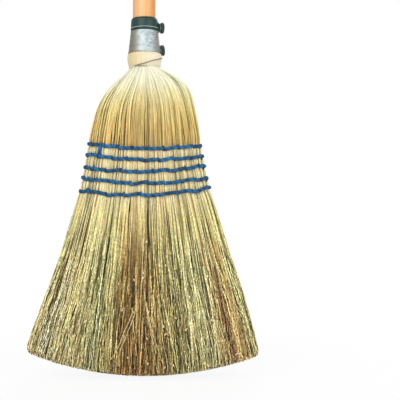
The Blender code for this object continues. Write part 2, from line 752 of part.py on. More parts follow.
def lower_clamp(carriers, materials):
    """The screw through the sleeve and the straw under it."""
    height = SLEEVE_LOW + LOWER_SCREW_RISE
    face = sleeve_radius(height)
    slope = math.atan2(SLEEVE_LOW_RADIUS - SLEEVE_TOP_RADIUS, SLEEVE_HEIGHT)
    axis = screw_axis("lower_screw_axis", face, height, slope)
    hole = clamp_screw("lower", axis, face - HANDLE_RADIUS, materials)
    for carrier in carriers:
        cut(carrier, hole)


def handle(material):
    """The pole: a rounded top with a small flat, and a tapered and chamfered lower end."""
    tip_radius = HANDLE_TIP_DIAMETER / 2
    flat = HANDLE_RADIUS - HANDLE_TOP_ROUNDING
    quarter_steps = 4
    rounding = [
        (
            flat + HANDLE_TOP_ROUNDING * math.cos(math.pi / 2 * step / quarter_steps),
            HANDLE_TOP - HANDLE_TOP_ROUNDING * (1 - math.sin(math.pi / 2 * step / quarter_steps)),
        )
        for step in range(quarter_steps + 1)
    ]
    outline = [
        (0.0, HANDLE_LOW),
        (tip_radius - HANDLE_TIP_CHAMFER, HANDLE_LOW),
        (tip_radius, HANDLE_LOW + HANDLE_TIP_CHAMFER),
        (HANDLE_RADIUS, HANDLE_LOW + HANDLE_TAPER_LENGTH),
        *rounding,
        (0.0, HANDLE_TOP),
    ]
    return turned("handle", outline, HANDLE_SIDES, material)


def main():
    for old in list(bpy.data.objects):
        bpy.data.objects.remove(old, do_unlink=True)
    materials = {
        "wood": principled("varnished_softwood", (0.78, 0.45, 0.20), 0.35),
        "collar": principled("dark_green_plastic", (0.02, 0.075, 0.06), 0.4),
        "sleeve": principled("galvanised_sheet", (0.62, 0.66, 0.66), 0.35, 1.0),
        "zinc": principled("zinc_plated_steel", (0.60, 0.60, 0.58), 0.3, 1.0),
        "brass": principled("brass", (0.60, 0.42, 0.16), 0.3, 1.0),
        "wire": principled("binding_wire", (0.20, 0.19, 0.16), 0.4, 1.0),
        "straw": principled("sorghum_straw", (0.68, 0.55, 0.27), 0.7),
        "twine": principled("blue_twine", (0.01, 0.12, 0.38), 0.6),
    }
    handle(materials["wood"])
    core = straw_core(materials["straw"])
    shoulder, half_turn = SHOULDER_HALF_ANGLE, math.pi
    covers = (
        ("back_cover_straw", shoulder, half_turn - shoulder),
        ("front_cover_straw", half_turn + shoulder, math.tau - shoulder),
    )
    for name, start, end in covers:
        bundle(name, start, end, COVER_FACETS, COVER_RIBS_PER_FACET, materials["straw"])
    shoulders = (
        ("right_shoulder_straw", -shoulder, shoulder, SHOULDER_ROLL),
        ("left_shoulder_straw", half_turn - shoulder, half_turn + shoulder, 0.0),
    )
    for name, start, end, roll in shoulders:
        bundle(name, start, end, SHOULDER_FACETS, SHOULDER_RIBS_PER_FACET, materials["straw"], roll)
    skirt(materials["straw"])
    wrap = neck_wrap(materials["straw"])
    neck_wire(materials["wire"])
    stitch_twine(materials["twine"])
    sleeve = metal_sleeve(materials["sleeve"])
    collar = collar_ring(materials["collar"])
    upper_clamp(collar, materials)
    lower_clamp((sleeve, wrap, core), materials)
    bpy.context.view_layer.update()


main()
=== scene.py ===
# %% [markdown]
# # A straw broom, dressed over its engineering model
#
# The broom's construction is already fixed: a pole, a bound straw head, a sheet sleeve, a collar and two
# clamping screws, each in its real place and at its real size. This notebook gives every one of them the
# surface that the eye expects. Straw could be a picture on a smooth block, but a broom is looked at along
# its edges and from below, so each stalk here is a rod of its own.

# %% Load the fixed frame
import json

import bpy
import numpy as np
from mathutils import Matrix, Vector


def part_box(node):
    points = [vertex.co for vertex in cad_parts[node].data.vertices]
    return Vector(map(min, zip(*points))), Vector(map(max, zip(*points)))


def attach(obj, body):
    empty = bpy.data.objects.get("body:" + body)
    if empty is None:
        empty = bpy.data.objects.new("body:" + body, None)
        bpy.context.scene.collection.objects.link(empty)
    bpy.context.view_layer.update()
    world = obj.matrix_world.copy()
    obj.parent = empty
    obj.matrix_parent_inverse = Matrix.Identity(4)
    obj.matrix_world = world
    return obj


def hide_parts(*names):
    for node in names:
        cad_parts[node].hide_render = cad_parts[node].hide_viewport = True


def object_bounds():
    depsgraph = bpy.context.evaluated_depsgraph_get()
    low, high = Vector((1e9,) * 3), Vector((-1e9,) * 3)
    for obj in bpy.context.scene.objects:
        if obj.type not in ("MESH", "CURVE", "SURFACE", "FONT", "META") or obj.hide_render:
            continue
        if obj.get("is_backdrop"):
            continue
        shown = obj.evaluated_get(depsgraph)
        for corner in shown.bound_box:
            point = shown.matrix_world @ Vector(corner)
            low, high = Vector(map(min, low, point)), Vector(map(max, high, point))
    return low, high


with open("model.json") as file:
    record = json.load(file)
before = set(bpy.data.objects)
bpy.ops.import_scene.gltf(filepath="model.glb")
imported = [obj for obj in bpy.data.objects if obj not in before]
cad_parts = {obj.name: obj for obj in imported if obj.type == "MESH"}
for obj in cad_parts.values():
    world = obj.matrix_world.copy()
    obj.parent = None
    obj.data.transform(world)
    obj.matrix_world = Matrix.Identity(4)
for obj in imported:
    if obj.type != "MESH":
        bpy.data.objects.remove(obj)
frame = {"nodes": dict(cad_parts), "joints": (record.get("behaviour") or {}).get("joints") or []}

MM = 0.001
TURN = 2 * np.pi
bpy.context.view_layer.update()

# %% [markdown]
# ## Three small tools
#
# Blender shades in linear light, while a colour that a person picks from a chart is an sRGB hex value. One
# function turns the one into the other. A second adds a shader node with its settings and links in a single
# call, which keeps a material as short as its recipe. The third starts a material: every finish below is the
# one general-purpose shader with its own numbers.

# %% Colours and shader nodes
def linear(*hexes):
    """Linear red, green and blue of sRGB hex colours: a power curve, with a short straight foot."""
    values = np.array([[int(h[i:i + 2], 16) for i in (0, 2, 4)] for h in hexes]) / 255
    light = np.where(values <= 0.04045, values / 12.92, ((values + 0.055) / 1.055) ** 2.4)
    return light if len(hexes) > 1 else light[0]


def opaque(hex_colour):
    """A hex colour as a shader socket wants it."""
    return (*linear(hex_colour), 1.0)


def node(tree, kind, inputs=None, **settings):
    """Adds a node. An input that is a socket is linked, and any other value is set."""
    made = tree.nodes.new(kind)
    for name, value in settings.items():
        setattr(made, name, value)
    for key, value in (inputs or {}).items():
        if isinstance(value, bpy.types.NodeSocket):
            tree.links.new(value, made.inputs[key])
        else:
            made.inputs[key].default_value = value
    return made


def finish_of(name, **sockets):
    """A new material: its tree and its shader, with these values set on the shader's own sockets."""
    material = bpy.data.materials.new(name)
    material.use_nodes = True
    shader = material.node_tree.nodes["Principled BSDF"]
    for key, value in sockets.items():
        shader.inputs[key.replace("_", " ")].default_value = value
    return material, material.node_tree, shader


print("straw in linear light:", linear("E6D8A0").round(3))

# %% [markdown]
# ## The camera
#
# The close view looks level at the broom from about 0.9 m away, at the height of the head's middle: the
# collar's rings curve upwards, as rings above the eye do. A level camera keeps the pole upright without any
# keystone. The head stands left of the picture's middle, which a sideways shift of the lens gives without
# turning the camera, as a photographer with a shift lens would do it.

# %% Place the camera
EYE_DISTANCE = 0.915
EYE_HEIGHT = 0.210
LENS_MM = 68.6
SIDE_SHIFT = 0.13875

camera_data = bpy.data.cameras.new("view_camera")
camera_data.lens = LENS_MM
camera_data.shift_x = SIDE_SHIFT
camera = bpy.data.objects.new("view_camera", camera_data)
camera.location = (0, -EYE_DISTANCE, EYE_HEIGHT)
camera.rotation_euler = (np.pi / 2, 0, 0)
scene = bpy.context.scene
scene.collection.objects.link(camera)
scene.camera = camera
scene.view_settings.view_transform = "Standard"
print("camera at", tuple(round(v, 3) for v in camera.location))

# %% [markdown]
# ## From arrays to meshes
#
# A broom is mostly thin round things: stalks, twine, wire. Curve objects with a bevel would make them, yet a
# thousand curves are slow and can't carry a colour at each point. Here a whole family of rods is one array
# of points, family by length by ring, worked out at once. The same face pattern also serves the turned
# parts, because a turned part is a single fat rod along the pole's axis.

# %% Rings into rods
def ring_faces(count, rows, sides, around_ends=False):
    """Corner numbers of the faces between neighbouring rings, for `count` rods of `rows` rings each.

    A face joins two neighbouring points of one ring with the two below them. The last point of a ring
    meets its first again, and with around_ends the last ring meets the first ring as well.
    """
    start = np.arange(count)[:, None, None] * rows * sides
    row = np.arange(rows if around_ends else rows - 1)[None, :, None]
    side = np.arange(sides)[None, None, :]
    here, below = row * sides, (row + 1) % rows * sides
    after = (side + 1) % sides
    corners = (here + side, here + after, below + after, below + side)
    return np.stack([start + corner for corner in corners], axis=-1).reshape(-1, 4)


def ring_caps(count, rows, sides):
    """The two end faces of each rod: its first ring run backwards, and its last ring."""
    start = np.arange(count)[:, None] * rows * sides
    ring = np.arange(sides)[None, :]
    return np.concatenate([start + ring[:, ::-1], start + (rows - 1) * sides + ring])


def rods(paths, radii, sides, reference, spin=0.0, flat=1.0):
    """Rings of points square to each path.

    Each ring is the path's point plus the radius times (cosine of the angle times a side direction, plus
    sine times a second one). The side direction is the path's direction crossed with the reference, and
    the second is the direction crossed with the first. A flat below 1 makes the section an oval.
    """
    along = np.gradient(paths, axis=1)
    along /= np.linalg.norm(along, axis=-1, keepdims=True)
    side = np.cross(along, np.asarray(reference, float))
    side /= np.linalg.norm(side, axis=-1, keepdims=True)
    up = np.cross(along, side)
    angle = TURN * np.arange(sides) / sides + np.asarray(spin)[..., None]
    ring = side[:, :, None] * np.cos(angle)[..., None] + flat * up[:, :, None] * np.sin(angle)[..., None]
    return paths[:, :, None] + np.broadcast_to(radii, paths.shape[:2])[..., None, None] * ring


def turned(radius, height, sides):
    """A profile carried once round the pole's axis: one rod whose rings are level.

    Each point is the radius times the cosine and the sine of the angle, at its height. A radius given for
    each row and side, and not only for each row, makes ribs or a seam.
    """
    angle = TURN * np.arange(sides) / sides
    radius, height = np.asarray(radius), np.asarray(height)[:, None]
    if radius.ndim == 1:
        radius = radius[:, None]
    level_ring = (radius * np.cos(angle), radius * np.sin(angle), height + 0 * angle)
    return np.stack(level_ring, axis=-1)[None]


print("a rod of 4 rings and 6 sides has", len(ring_faces(1, 4, 6)), "faces and",
      len(ring_caps(1, 4, 6)), "caps")

# %% Families of rods as arrays
# How much further along its pattern each rod starts than the one before, in metres
PATTERN_STEP = 0.7


def joined(families):
    """Points, colours, map places and faces of families of rods, one family after the other.

    A family is (rings, tint, ending). Rings have the shape (rods, rows, sides, 3). The tint is a colour, or
    an array of colours for each rod and row, or for each point. The ending is "capped", or "looped" where
    the last ring meets the first. The map runs once round a rod, and in metres along it.
    """
    points, faces, ends, tints, maps, offset = [], [], [], [], [], 0
    for rings, tint, ending in families:
        count, rows, sides, _ = rings.shape
        points.append(rings.reshape(-1, 3))
        faces.append(ring_faces(count, rows, sides, ending == "looped") + offset)
        if ending == "capped":
            ends.append(ring_caps(count, rows, sides) + offset)
        colour = np.asarray(tint) if np.ndim(tint) == 4 else np.asarray(tint)[..., None, :]
        tints.append(np.broadcast_to(colour, rings.shape).reshape(-1, 3))
        step = np.linalg.norm(np.diff(rings.mean(axis=2), axis=1), axis=-1)
        length = np.concatenate([np.zeros((count, 1)), step.cumsum(axis=1)], axis=1)
        length = length + PATTERN_STEP * np.arange(count)[:, None]
        around = np.broadcast_to(np.arange(sides) / sides, rings.shape[:3])
        place = np.stack([around, np.broadcast_to(length[..., None], rings.shape[:3])], axis=-1)
        maps.append(place.reshape(-1, 2))
        offset += rings.size // 3
    return np.concatenate(points), np.concatenate(tints), np.concatenate(maps), faces + ends


print("each rod starts", PATTERN_STEP, "m further along its pattern")

# %% Arrays into an object
# An edge stays sharp where its faces meet at more than this angle
CREASE = np.radians(38)


def piece(name, material, body, slot, *families, replaced=()):
    """Makes families of rods one named piece, which rides on a body and may replace CAD solids."""
    points, tints, maps, corner_lists = joined(families)
    corners = np.concatenate([block.ravel() for block in corner_lists])
    sizes = np.concatenate([np.full(len(block), block.shape[1]) for block in corner_lists])
    starts = np.concatenate([[0], sizes.cumsum()[:-1]])

    mesh = bpy.data.meshes.new(name)
    mesh.vertices.add(len(points))
    mesh.vertices.foreach_set("co", points.astype(np.float32).ravel())
    mesh.loops.add(len(corners))
    mesh.loops.foreach_set("vertex_index", corners.astype(np.int32))
    mesh.polygons.add(len(starts))
    mesh.polygons.foreach_set("loop_start", starts.astype(np.int32))
    mesh.update(calc_edges=True)
    mesh.validate()
    mesh.polygons.foreach_set("use_smooth", np.ones(len(mesh.polygons), bool))
    mesh.set_sharp_from_angle(angle=CREASE)
    layer = mesh.attributes.new("tint", "FLOAT_COLOR", "POINT")
    layer.data.foreach_set("color", np.c_[tints, np.ones(len(tints))].astype(np.float32).ravel())
    uv = mesh.uv_layers.new(name="along")
    uv.data.foreach_set("uv", maps[corners].astype(np.float32).ravel())
    mesh.materials.append(material)
    made = bpy.data.objects.new(name, mesh)
    scene.collection.objects.link(made)
    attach(made, body)
    if replaced:
        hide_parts(*replaced)
    triangles = int((sizes - 2).sum())
    print(f"{name}: {triangles} triangles, {points.min(0).round(4)} to {points.max(0).round(4)}")
    return made


# %% [markdown]
# ## The head's shape
#
# Everything on the head follows one form: a waist bound round the pole, full shoulders, a band held flat by
# stitching, and a skirt that spreads to a trimmed edge. It could be sculpted, but stalks, twine and packed
# straw inside must all agree with each other, so the form is a function. A place on it is a share of the way
# round, a drop below the waist and a depth under the surface. Levels aren't flat: the middle of a level hangs
# lower than its sides, since the middle stalks run straight down while the side stalks run aslant.

# %% Tables of the form
# Height of the waist over the tips, and the drop of the trimmed edge at the sides
STRAW_HEIGHT = 369 * MM
EDGE_DROP = 341 * MM
WAIST_RADIUS = 18.6 * MM

# Drop below the waist, half width to the left (-X) and to the right (+X), all in millimetres
OUTLINE_MM = np.array([
    (0, 18.6, 18.6), (3, 19.2, 21.4), (9, 24.5, 33), (15, 32, 43), (26.4, 42.5, 51.5), (38, 50.6, 56.4),
    (50.4, 57, 59.8), (74.4, 63.3, 65), (98.4, 67.8, 68), (122.4, 71.8, 72.6), (146.4, 77, 78),
    (170.4, 84, 86), (218.4, 98.8, 101), (266.4, 114.8, 117), (314.4, 132, 130.6), (341, 141, 136.5),
])
# Drop and half thickness in millimetres: round waist, full shoulder, flat stitched band, spread tips
THICKNESS_MM = np.array([
    (0, 18.6), (6, 21), (14, 25.2), (24, 27.6), (32, 28), (42, 27.2), (58, 24.4), (74, 21.9), (90, 21),
    (150, 21), (185, 23.2), (225, 26.4), (275, 29.6), (341, 31),
])
# Drop and how far a level's middle hangs below its sides, in millimetres
SAG_MM = np.array([(0, 0), (85, 5.6), (153, 7.3), (230, 16), (341, 28)])
# The trimmed edge rises towards the front and the back, and its right end hangs lower than its left end
TRIM_RISE = 7 * MM
RIGHT_DIP = 4 * MM
TRIM_START = 190 * MM
# A table is read at steps of this many millimetres, and a smooth curve averages this many readings
READING_MM = 0.5
READINGS = 17


def softened(table):
    """A table as smooth curves: read at even steps, mirrored beyond its ends, and averaged by a window."""
    drop = np.arange(0, table[-1, 0] + 1, READING_MM)
    window = np.hanning(READINGS) / np.hanning(READINGS).sum()
    beyond = READINGS // 2
    columns = []
    for values in table.T[1:]:
        straight = np.interp(drop, table[:, 0], values)
        before = 2 * straight[0] - straight[beyond:0:-1]
        after = 2 * straight[-1] - straight[-2:-2 - beyond:-1]
        columns.append(np.convolve(np.concatenate([before, straight, after]), window, "valid") * MM)
    return drop * MM, columns


drops, (left_width, right_width) = softened(OUTLINE_MM)
_, (half_thickness,) = softened(THICKNESS_MM)
_, (middle_sag,) = softened(SAG_MM)
print(f"the head is {(left_width[-1] + right_width[-1]) / MM:.0f} mm wide at its trimmed edge")

# %% Widths, levels and sections
# The section grows blunt over this drop, and this is added to the 2 of a true oval's power
BLUNT_DROP = 51 * MM
BLUNTNESS = 0.6


def half_width(side, drop):
    """Half width at a drop: the left one where the side's number is negative, and else the right one."""
    return np.where(side < 0, np.interp(drop, drops, left_width), np.interp(drop, drops, right_width))


def half_depth(drop):
    """Half thickness from front to back at a drop."""
    return np.interp(drop, drops, half_thickness)


def eased(value, low, high):
    """Rises smoothly from 0 at low to 1 at high."""
    share = np.clip((value - low) / (high - low), 0, 1)
    return share * share * (3 - 2 * share)


def level(across, deep, drop):
    """Height of a place. Across and deep run from -1 to 1 over the half width and the half thickness.

    It is the waist's height less the drop, less the level's sag times one minus the square of across. In
    the loose straw the trim's rise is added, times the square of deep.
    """
    sag = np.interp(drop, drops, middle_sag) * (1 - across * across)
    trim = TRIM_RISE * deep * deep - RIGHT_DIP * np.clip(across, 0, 1) ** 2
    return STRAW_HEIGHT - drop - sag + eased(drop, TRIM_START, EDGE_DROP) * trim


def oval(angle, drop):
    """The blunt oval section at a drop, as x, y and the half width on that side.

    x and y are each their half size times a power of cosine or sine. The power falls from 1 at the waist,
    where the section is round, to 2 divided by 2.6 where it is bluntest.
    """
    power = 2 / (2 + BLUNTNESS * eased(drop, 0, BLUNT_DROP))
    cosine, sine = np.cos(angle), np.sin(angle)
    reach = half_width(cosine, drop)
    x = reach * np.sign(cosine) * np.abs(cosine) ** power
    y = half_depth(drop) * np.sign(sine) * np.abs(sine) ** power
    return x, y, reach


print(f"the trimmed edge is {2 * half_depth(EDGE_DROP) / MM:.0f} mm from front to back")

# %% Any place on the head
# Angles at small steps and the girth up to each, so that a share of the stitched band's girth gives an angle
BAND_DROP = 120 * MM
fine_angles = np.linspace(0, TURN, 2881)
band_x, band_y, _ = oval(fine_angles, BAND_DROP + 0 * fine_angles)
band_length = np.concatenate([[0], np.hypot(np.diff(band_x), np.diff(band_y)).cumsum()])
BAND_GIRTH = band_length[-1]
# A point's outward direction is square to the line between its neighbours at this angle to both sides
NEIGHBOUR_ANGLE = 0.004


def head(share, drop, depth=0.0):
    """Points of the head. Share runs once round the girth from the right side through the back.

    The oval gives x and y, the depth is taken off along the outward direction, and the level gives z.
    """
    share, drop, depth = np.broadcast_arrays(share, drop, depth)
    angle = np.interp(share % 1.0 * BAND_GIRTH, band_length, fine_angles)
    x, y, reach = oval(angle, drop)
    ahead_x, ahead_y, _ = oval(angle + NEIGHBOUR_ANGLE, drop)
    behind_x, behind_y, _ = oval(angle - NEIGHBOUR_ANGLE, drop)
    out_x, out_y = ahead_y - behind_y, behind_x - ahead_x
    size = np.maximum(np.hypot(out_x, out_y), 1e-9)
    x, y = x - depth * out_x / size, y - depth * out_y / size
    across = np.clip(x / reach, -1, 1)
    deep = np.clip(y / half_depth(drop), -1, 1)
    return np.stack([x, y, level(across, deep, drop)], axis=-1)


print(f"girth over the stitching: {BAND_GIRTH / MM:.0f} mm")

# %% [markdown]
# ## What the stitching does to the straw
#
# The twine draws the straw in at each of five rows, and along the rows the stalks gather in tufts of about
# 7 mm, two or three to a stitch. A displacement texture could dent a smooth surface, but it can't part the
# stalks. So the rows and tufts act on the stalks' own paths: a row takes depth off, and a tuft moves a stalk
# sideways towards its middle, which opens a narrow dark gap to the next tuft.

# %% Rows and tufts
ROW_COUNT = 5
FIRST_ROW = 92.4 * MM
ROW_PITCH = 13.4 * MM
ROW_DEPTH = 1.3 * MM
LAST_ROW = FIRST_ROW + (ROW_COUNT - 1) * ROW_PITCH
TUFT_WIDTH = 6.7 * MM
TUFTS = round(BAND_GIRTH / TUFT_WIDTH)
TUFT_GATHER = 0.78
TUFT_CREASE = 0.7 * MM
# Drops over which the tufts come in above the rows and go out below them
TUFTS_IN = (FIRST_ROW - 34 * MM, FIRST_ROW - 4 * MM)
TUFTS_OUT = (LAST_ROW + 3 * MM, LAST_ROW + 30 * MM)


def row_draw(drop):
    """How far the rows pull the straw in: fully at a row, nothing midway, as a raised cosine."""
    rows_down = (drop - FIRST_ROW) / ROW_PITCH
    nearest = np.clip(np.round(rows_down), 0, ROW_COUNT - 1)
    away = np.clip(np.abs(rows_down - nearest) * 2, 0, 1)
    return ROW_DEPTH * (0.5 + 0.5 * np.cos(np.pi * away)) ** 1.2


def tuft_hold(drop):
    """How strongly the tufts show: growing above the first row, and fading below the last one."""
    return eased(drop, *TUFTS_IN) * (1 - eased(drop, *TUFTS_OUT))


def gathered(share, drop):
    """Moves stalks towards their tuft's middle, and says how deep the crease beside them is.

    With u counting tufts along the girth, a little unevenly, the share loses a sine of u, which bunches the
    stalks where u is whole. The crease follows one minus the cosine of u, squared so that it stays narrow.
    """
    u = share * TUFTS + 0.22 * np.sin(TURN * 7 * share) + 0.15 * np.sin(TURN * 17 * share + 2)
    hold = tuft_hold(drop)
    moved = share - hold * TUFT_GATHER * np.sin(TURN * u) / (TURN * TUFTS)
    crease = TUFT_CREASE * hold * (0.5 - 0.5 * np.cos(TURN * u)) ** 2
    return moved, crease


rows_mm = (FIRST_ROW + ROW_PITCH * np.arange(ROW_COUNT)) / MM
print(f"{TUFTS} tufts round the head, rows {rows_mm.round(1)} mm below the waist")

# %% [markdown]
# ## The colours of broomcorn
#
# Broomcorn is bleached almost white where it was wrapped, golden over the shoulders, and a mixture of green,
# tan and brown in the skirt, where the fine seed branches keep the colours they dried in. One colour with
# noise would look like paper. Each stalk instead takes a kind from a small mixture, and the mixture changes
# across the skirt in broad clumps, because a broom is filled with handfuls of straw that each grew alike.

# %% A palette and a mixture for every place
# In order: cream, gold, rose, green, brown and bleached
KINDS = linear("F2E7B6", "EDC25A", "E8A872", "B0C482", "A0702E", "FDF8E4")

# Base colour by drop in millimetres, the same for every kind. The darker gold from 68 to 90 mm is partly
# the straw's gold and partly painted shade, just above the first row
BASE_DROPS = np.array([0, 22, 34, 50, 68, 90, 95, 150, 172, 215, 270, 341]) * MM
BASE_COLOURS = linear(
    "FFFCEC", "FFF9DC", "FCEFBE", "E8D288", "D1B464", "B6974A",
    "FFE8BE", "FFE9BE", "F4DE9C", "E8D498", "E8CC94", "FFCC9C",
)
# How much the stalks' brightness differs, by drop in millimetres
CONTRAST_DROPS = np.array([0, 25, 55, 92, 150, 195, 240, 341]) * MM
CONTRASTS = np.array([0.08, 0.22, 0.56, 0.66, 0.8, 1.5, 2.0, 2.0])
# Shares of the kinds at places across the front of the skirt, from the left edge (-1) to the right (1)
SKIRT_PLACES = np.array([
    -1, -0.93, -0.84, -0.74, -0.66, -0.45, -0.3, -0.2, 0.0, 0.08, 0.2, 0.4, 0.6, 0.72, 0.86, 0.94, 1,
])
SKIRT_SHARES = np.array([
    (0.3, 0.1, 0.5, 0.1, 0.0, 0.0), (0.35, 0.15, 0.35, 0.15, 0.0, 0.0), (0.4, 0.15, 0.15, 0.3, 0.0, 0.0),
    (0.25, 0.2, 0.35, 0.2, 0.0, 0.0), (0.28, 0.18, 0.34, 0.2, 0.0, 0.0), (0.36, 0.04, 0.02, 0.56, 0.02, 0.0),
    (0.2, 0.25, 0.12, 0.33, 0.1, 0.0), (0.04, 0.38, 0.26, 0.0, 0.32, 0.0), (0.06, 0.38, 0.2, 0.04, 0.32, 0.0),
    (0.12, 0.48, 0.12, 0.1, 0.18, 0), (0.2, 0.38, 0.08, 0.26, 0.08, 0), (0.28, 0.08, 0.05, 0.52, 0.07, 0),
    (0.33, 0.06, 0.1, 0.48, 0.03, 0), (0.14, 0.1, 0.68, 0.03, 0.05, 0), (0.04, 0.13, 0.78, 0.0, 0.05, 0),
    (0.25, 0.15, 0.15, 0.45, 0.0, 0.0), (0.3, 0.15, 0.25, 0.25, 0.05, 0.0),
])
# How light the straw is at those places
SKIRT_LIGHT = np.array([
    0.45, 0.5, 0.52, 0.54, 0.44, 0.27, 0.08, -0.28, -0.28, -0.26, -0.1, 0.08, 0.28, 0.28, 0.3, 0.2, 0.16,
])
# How light it is at places across the shoulders, whose middle is the darkest
UPPER_PLACES = np.array([-0.9, -0.45, -0.25, 0.2, 0.4])
UPPER_LIGHT = np.array([0.09, 0.08, -0.1, -0.1, 0.06])
# Shares of the kinds above the stitching, the same all the way across
UPPER_SHARES = np.array([0.4, 0.33, 0.12, 0.05, 0.06, 0.04])
print("kinds of straw:", len(KINDS), "places across the skirt:", len(SKIRT_PLACES))

# %% The colour of a stalk
# How far a colour goes to its picked kind, and the share of stalks that take their lock's pick
OWN_KIND = 0.36
LOCK_PICKS = 0.66
# How much locks differ in brightness, and the depth that darkens straw by a factor of 2.7 as painted shade
LOCK_CONTRAST = 0.05
SHADE_DEPTH = 13 * MM
# Drops over which the skirt's mixture comes in, and the shoulders' light comes in and goes out
SKIRT_IN = (150 * MM, 225 * MM)
SHOULDERS_IN = (20 * MM, 60 * MM)
SHOULDERS_OUT = (80 * MM, 94 * MM)
# The strongest that a channel may be before a colour is held back
FULL_LIGHT = 0.96


def kinds_at(chance, across, lock):
    """Colours of the kinds: the mean of the place's mixture, moved part of the way to a picked kind.

    A kind is picked where the shares, summed up, pass a random number. Two stalks in three take their
    lock's number, so that a lock has much the same colour.
    """
    shares = np.stack([np.interp(across, SKIRT_PLACES, column) for column in SKIRT_SHARES.T], axis=-1)
    shares = shares / shares.sum(axis=-1, keepdims=True)
    own, common = chance.random(len(across)), chance.random(lock.max() + 1)[lock]
    draw = np.where(chance.random(len(across)) < LOCK_PICKS, common, own)[:, None]
    picked = np.minimum((shares.cumsum(axis=-1) < draw).sum(axis=-1), len(KINDS) - 1)
    return (1 - OWN_KIND) * shares @ KINDS + OWN_KIND * KINDS[picked]


def straw_tint(chance, across, drop, lock, depth=0.0, hue=0.7, contrast=1.0):
    """Colours for each stalk and row.

    The base colour of the drop is blended with the stalk's upper kind above the stitching and with its
    lower kind in the skirt. The brightness is an exponential of a sum: minus a skewed random number for
    each stalk, which leaves most stalks light and a few dark, one for each lock in the skirt, the light of
    the place, which is one thing across the shoulders and another in the skirt, where it counts more
    towards the tips, and minus the depth, which is painted shade: straw that lies deeper is made darker,
    as it lies in the shade of the straw over it. Below 1 the blue falls with a higher power of it, so that
    dark stalks and the painted shade are browner. A colour with a channel over the full light is divided
    by the root of the excess before it is cut off, so that a light stalk keeps some hue.
    """
    base = np.stack([np.interp(drop, BASE_DROPS, column) for column in BASE_COLOURS.T], axis=-1)
    picked = KINDS[chance.choice(len(KINDS), len(across), p=UPPER_SHARES)]
    upper = ((1 - OWN_KIND) * UPPER_SHARES @ KINDS + OWN_KIND * picked)[:, None]
    lower = kinds_at(chance, across, lock)[:, None]
    low = eased(drop, *SKIRT_IN)
    amount = (hue * (0.1 + 0.45 * eased(drop, 14 * MM, 70 * MM) + 0.45 * low))[..., None]
    colour = base + amount * ((1 - low[..., None]) * upper + low[..., None] * lower - base)
    spread = contrast * np.interp(drop, CONTRAST_DROPS, CONTRASTS)
    own = np.log(1 + spread) - spread * chance.exponential(1.0, len(across))[:, None]
    shared = LOCK_CONTRAST * low * chance.standard_normal(lock.max() + 1)[lock][:, None]
    tips = 0.7 * low + 0.25 * eased(drop, 250 * MM, EDGE_DROP)
    shoulders = eased(drop, *SHOULDERS_IN) * (1 - eased(drop, *SHOULDERS_OUT))
    place = tips * np.interp(across, SKIRT_PLACES, SKIRT_LIGHT)[:, None]
    place = place + shoulders * np.interp(across, UPPER_PLACES, UPPER_LIGHT)[:, None]
    bright = np.exp(own + shared + place - depth / SHADE_DEPTH)
    browner = np.minimum(bright, 1)[..., None] ** np.array([0.0, 0.0, 0.35])
    colour = colour * browner * bright[..., None]
    excess = np.maximum(colour.max(axis=-1, keepdims=True) / FULL_LIGHT, 1)
    return np.clip(colour / excess ** 0.5, 0.004, 0.97)


trial = straw_tint(np.random.default_rng(1), np.zeros(3), np.full((3, 1), EDGE_DROP), np.zeros(3, int))
print("three stalks from the middle of the trimmed edge:", trial[:, 0].round(2).tolist())

# %% [markdown]
# ## The finish of a stalk
#
# A dry stalk is a hollow grass stem with a waxy skin: no metal, an index near 1.5 and a roughness a little
# above the middle, which leaves a soft sheen along its length. Its colour comes from the colours stored at
# the points, and fine streaks run lengthwise. The streaks are read from the stalk's own map, whose second
# direction is its length in metres, so that they follow every bend.

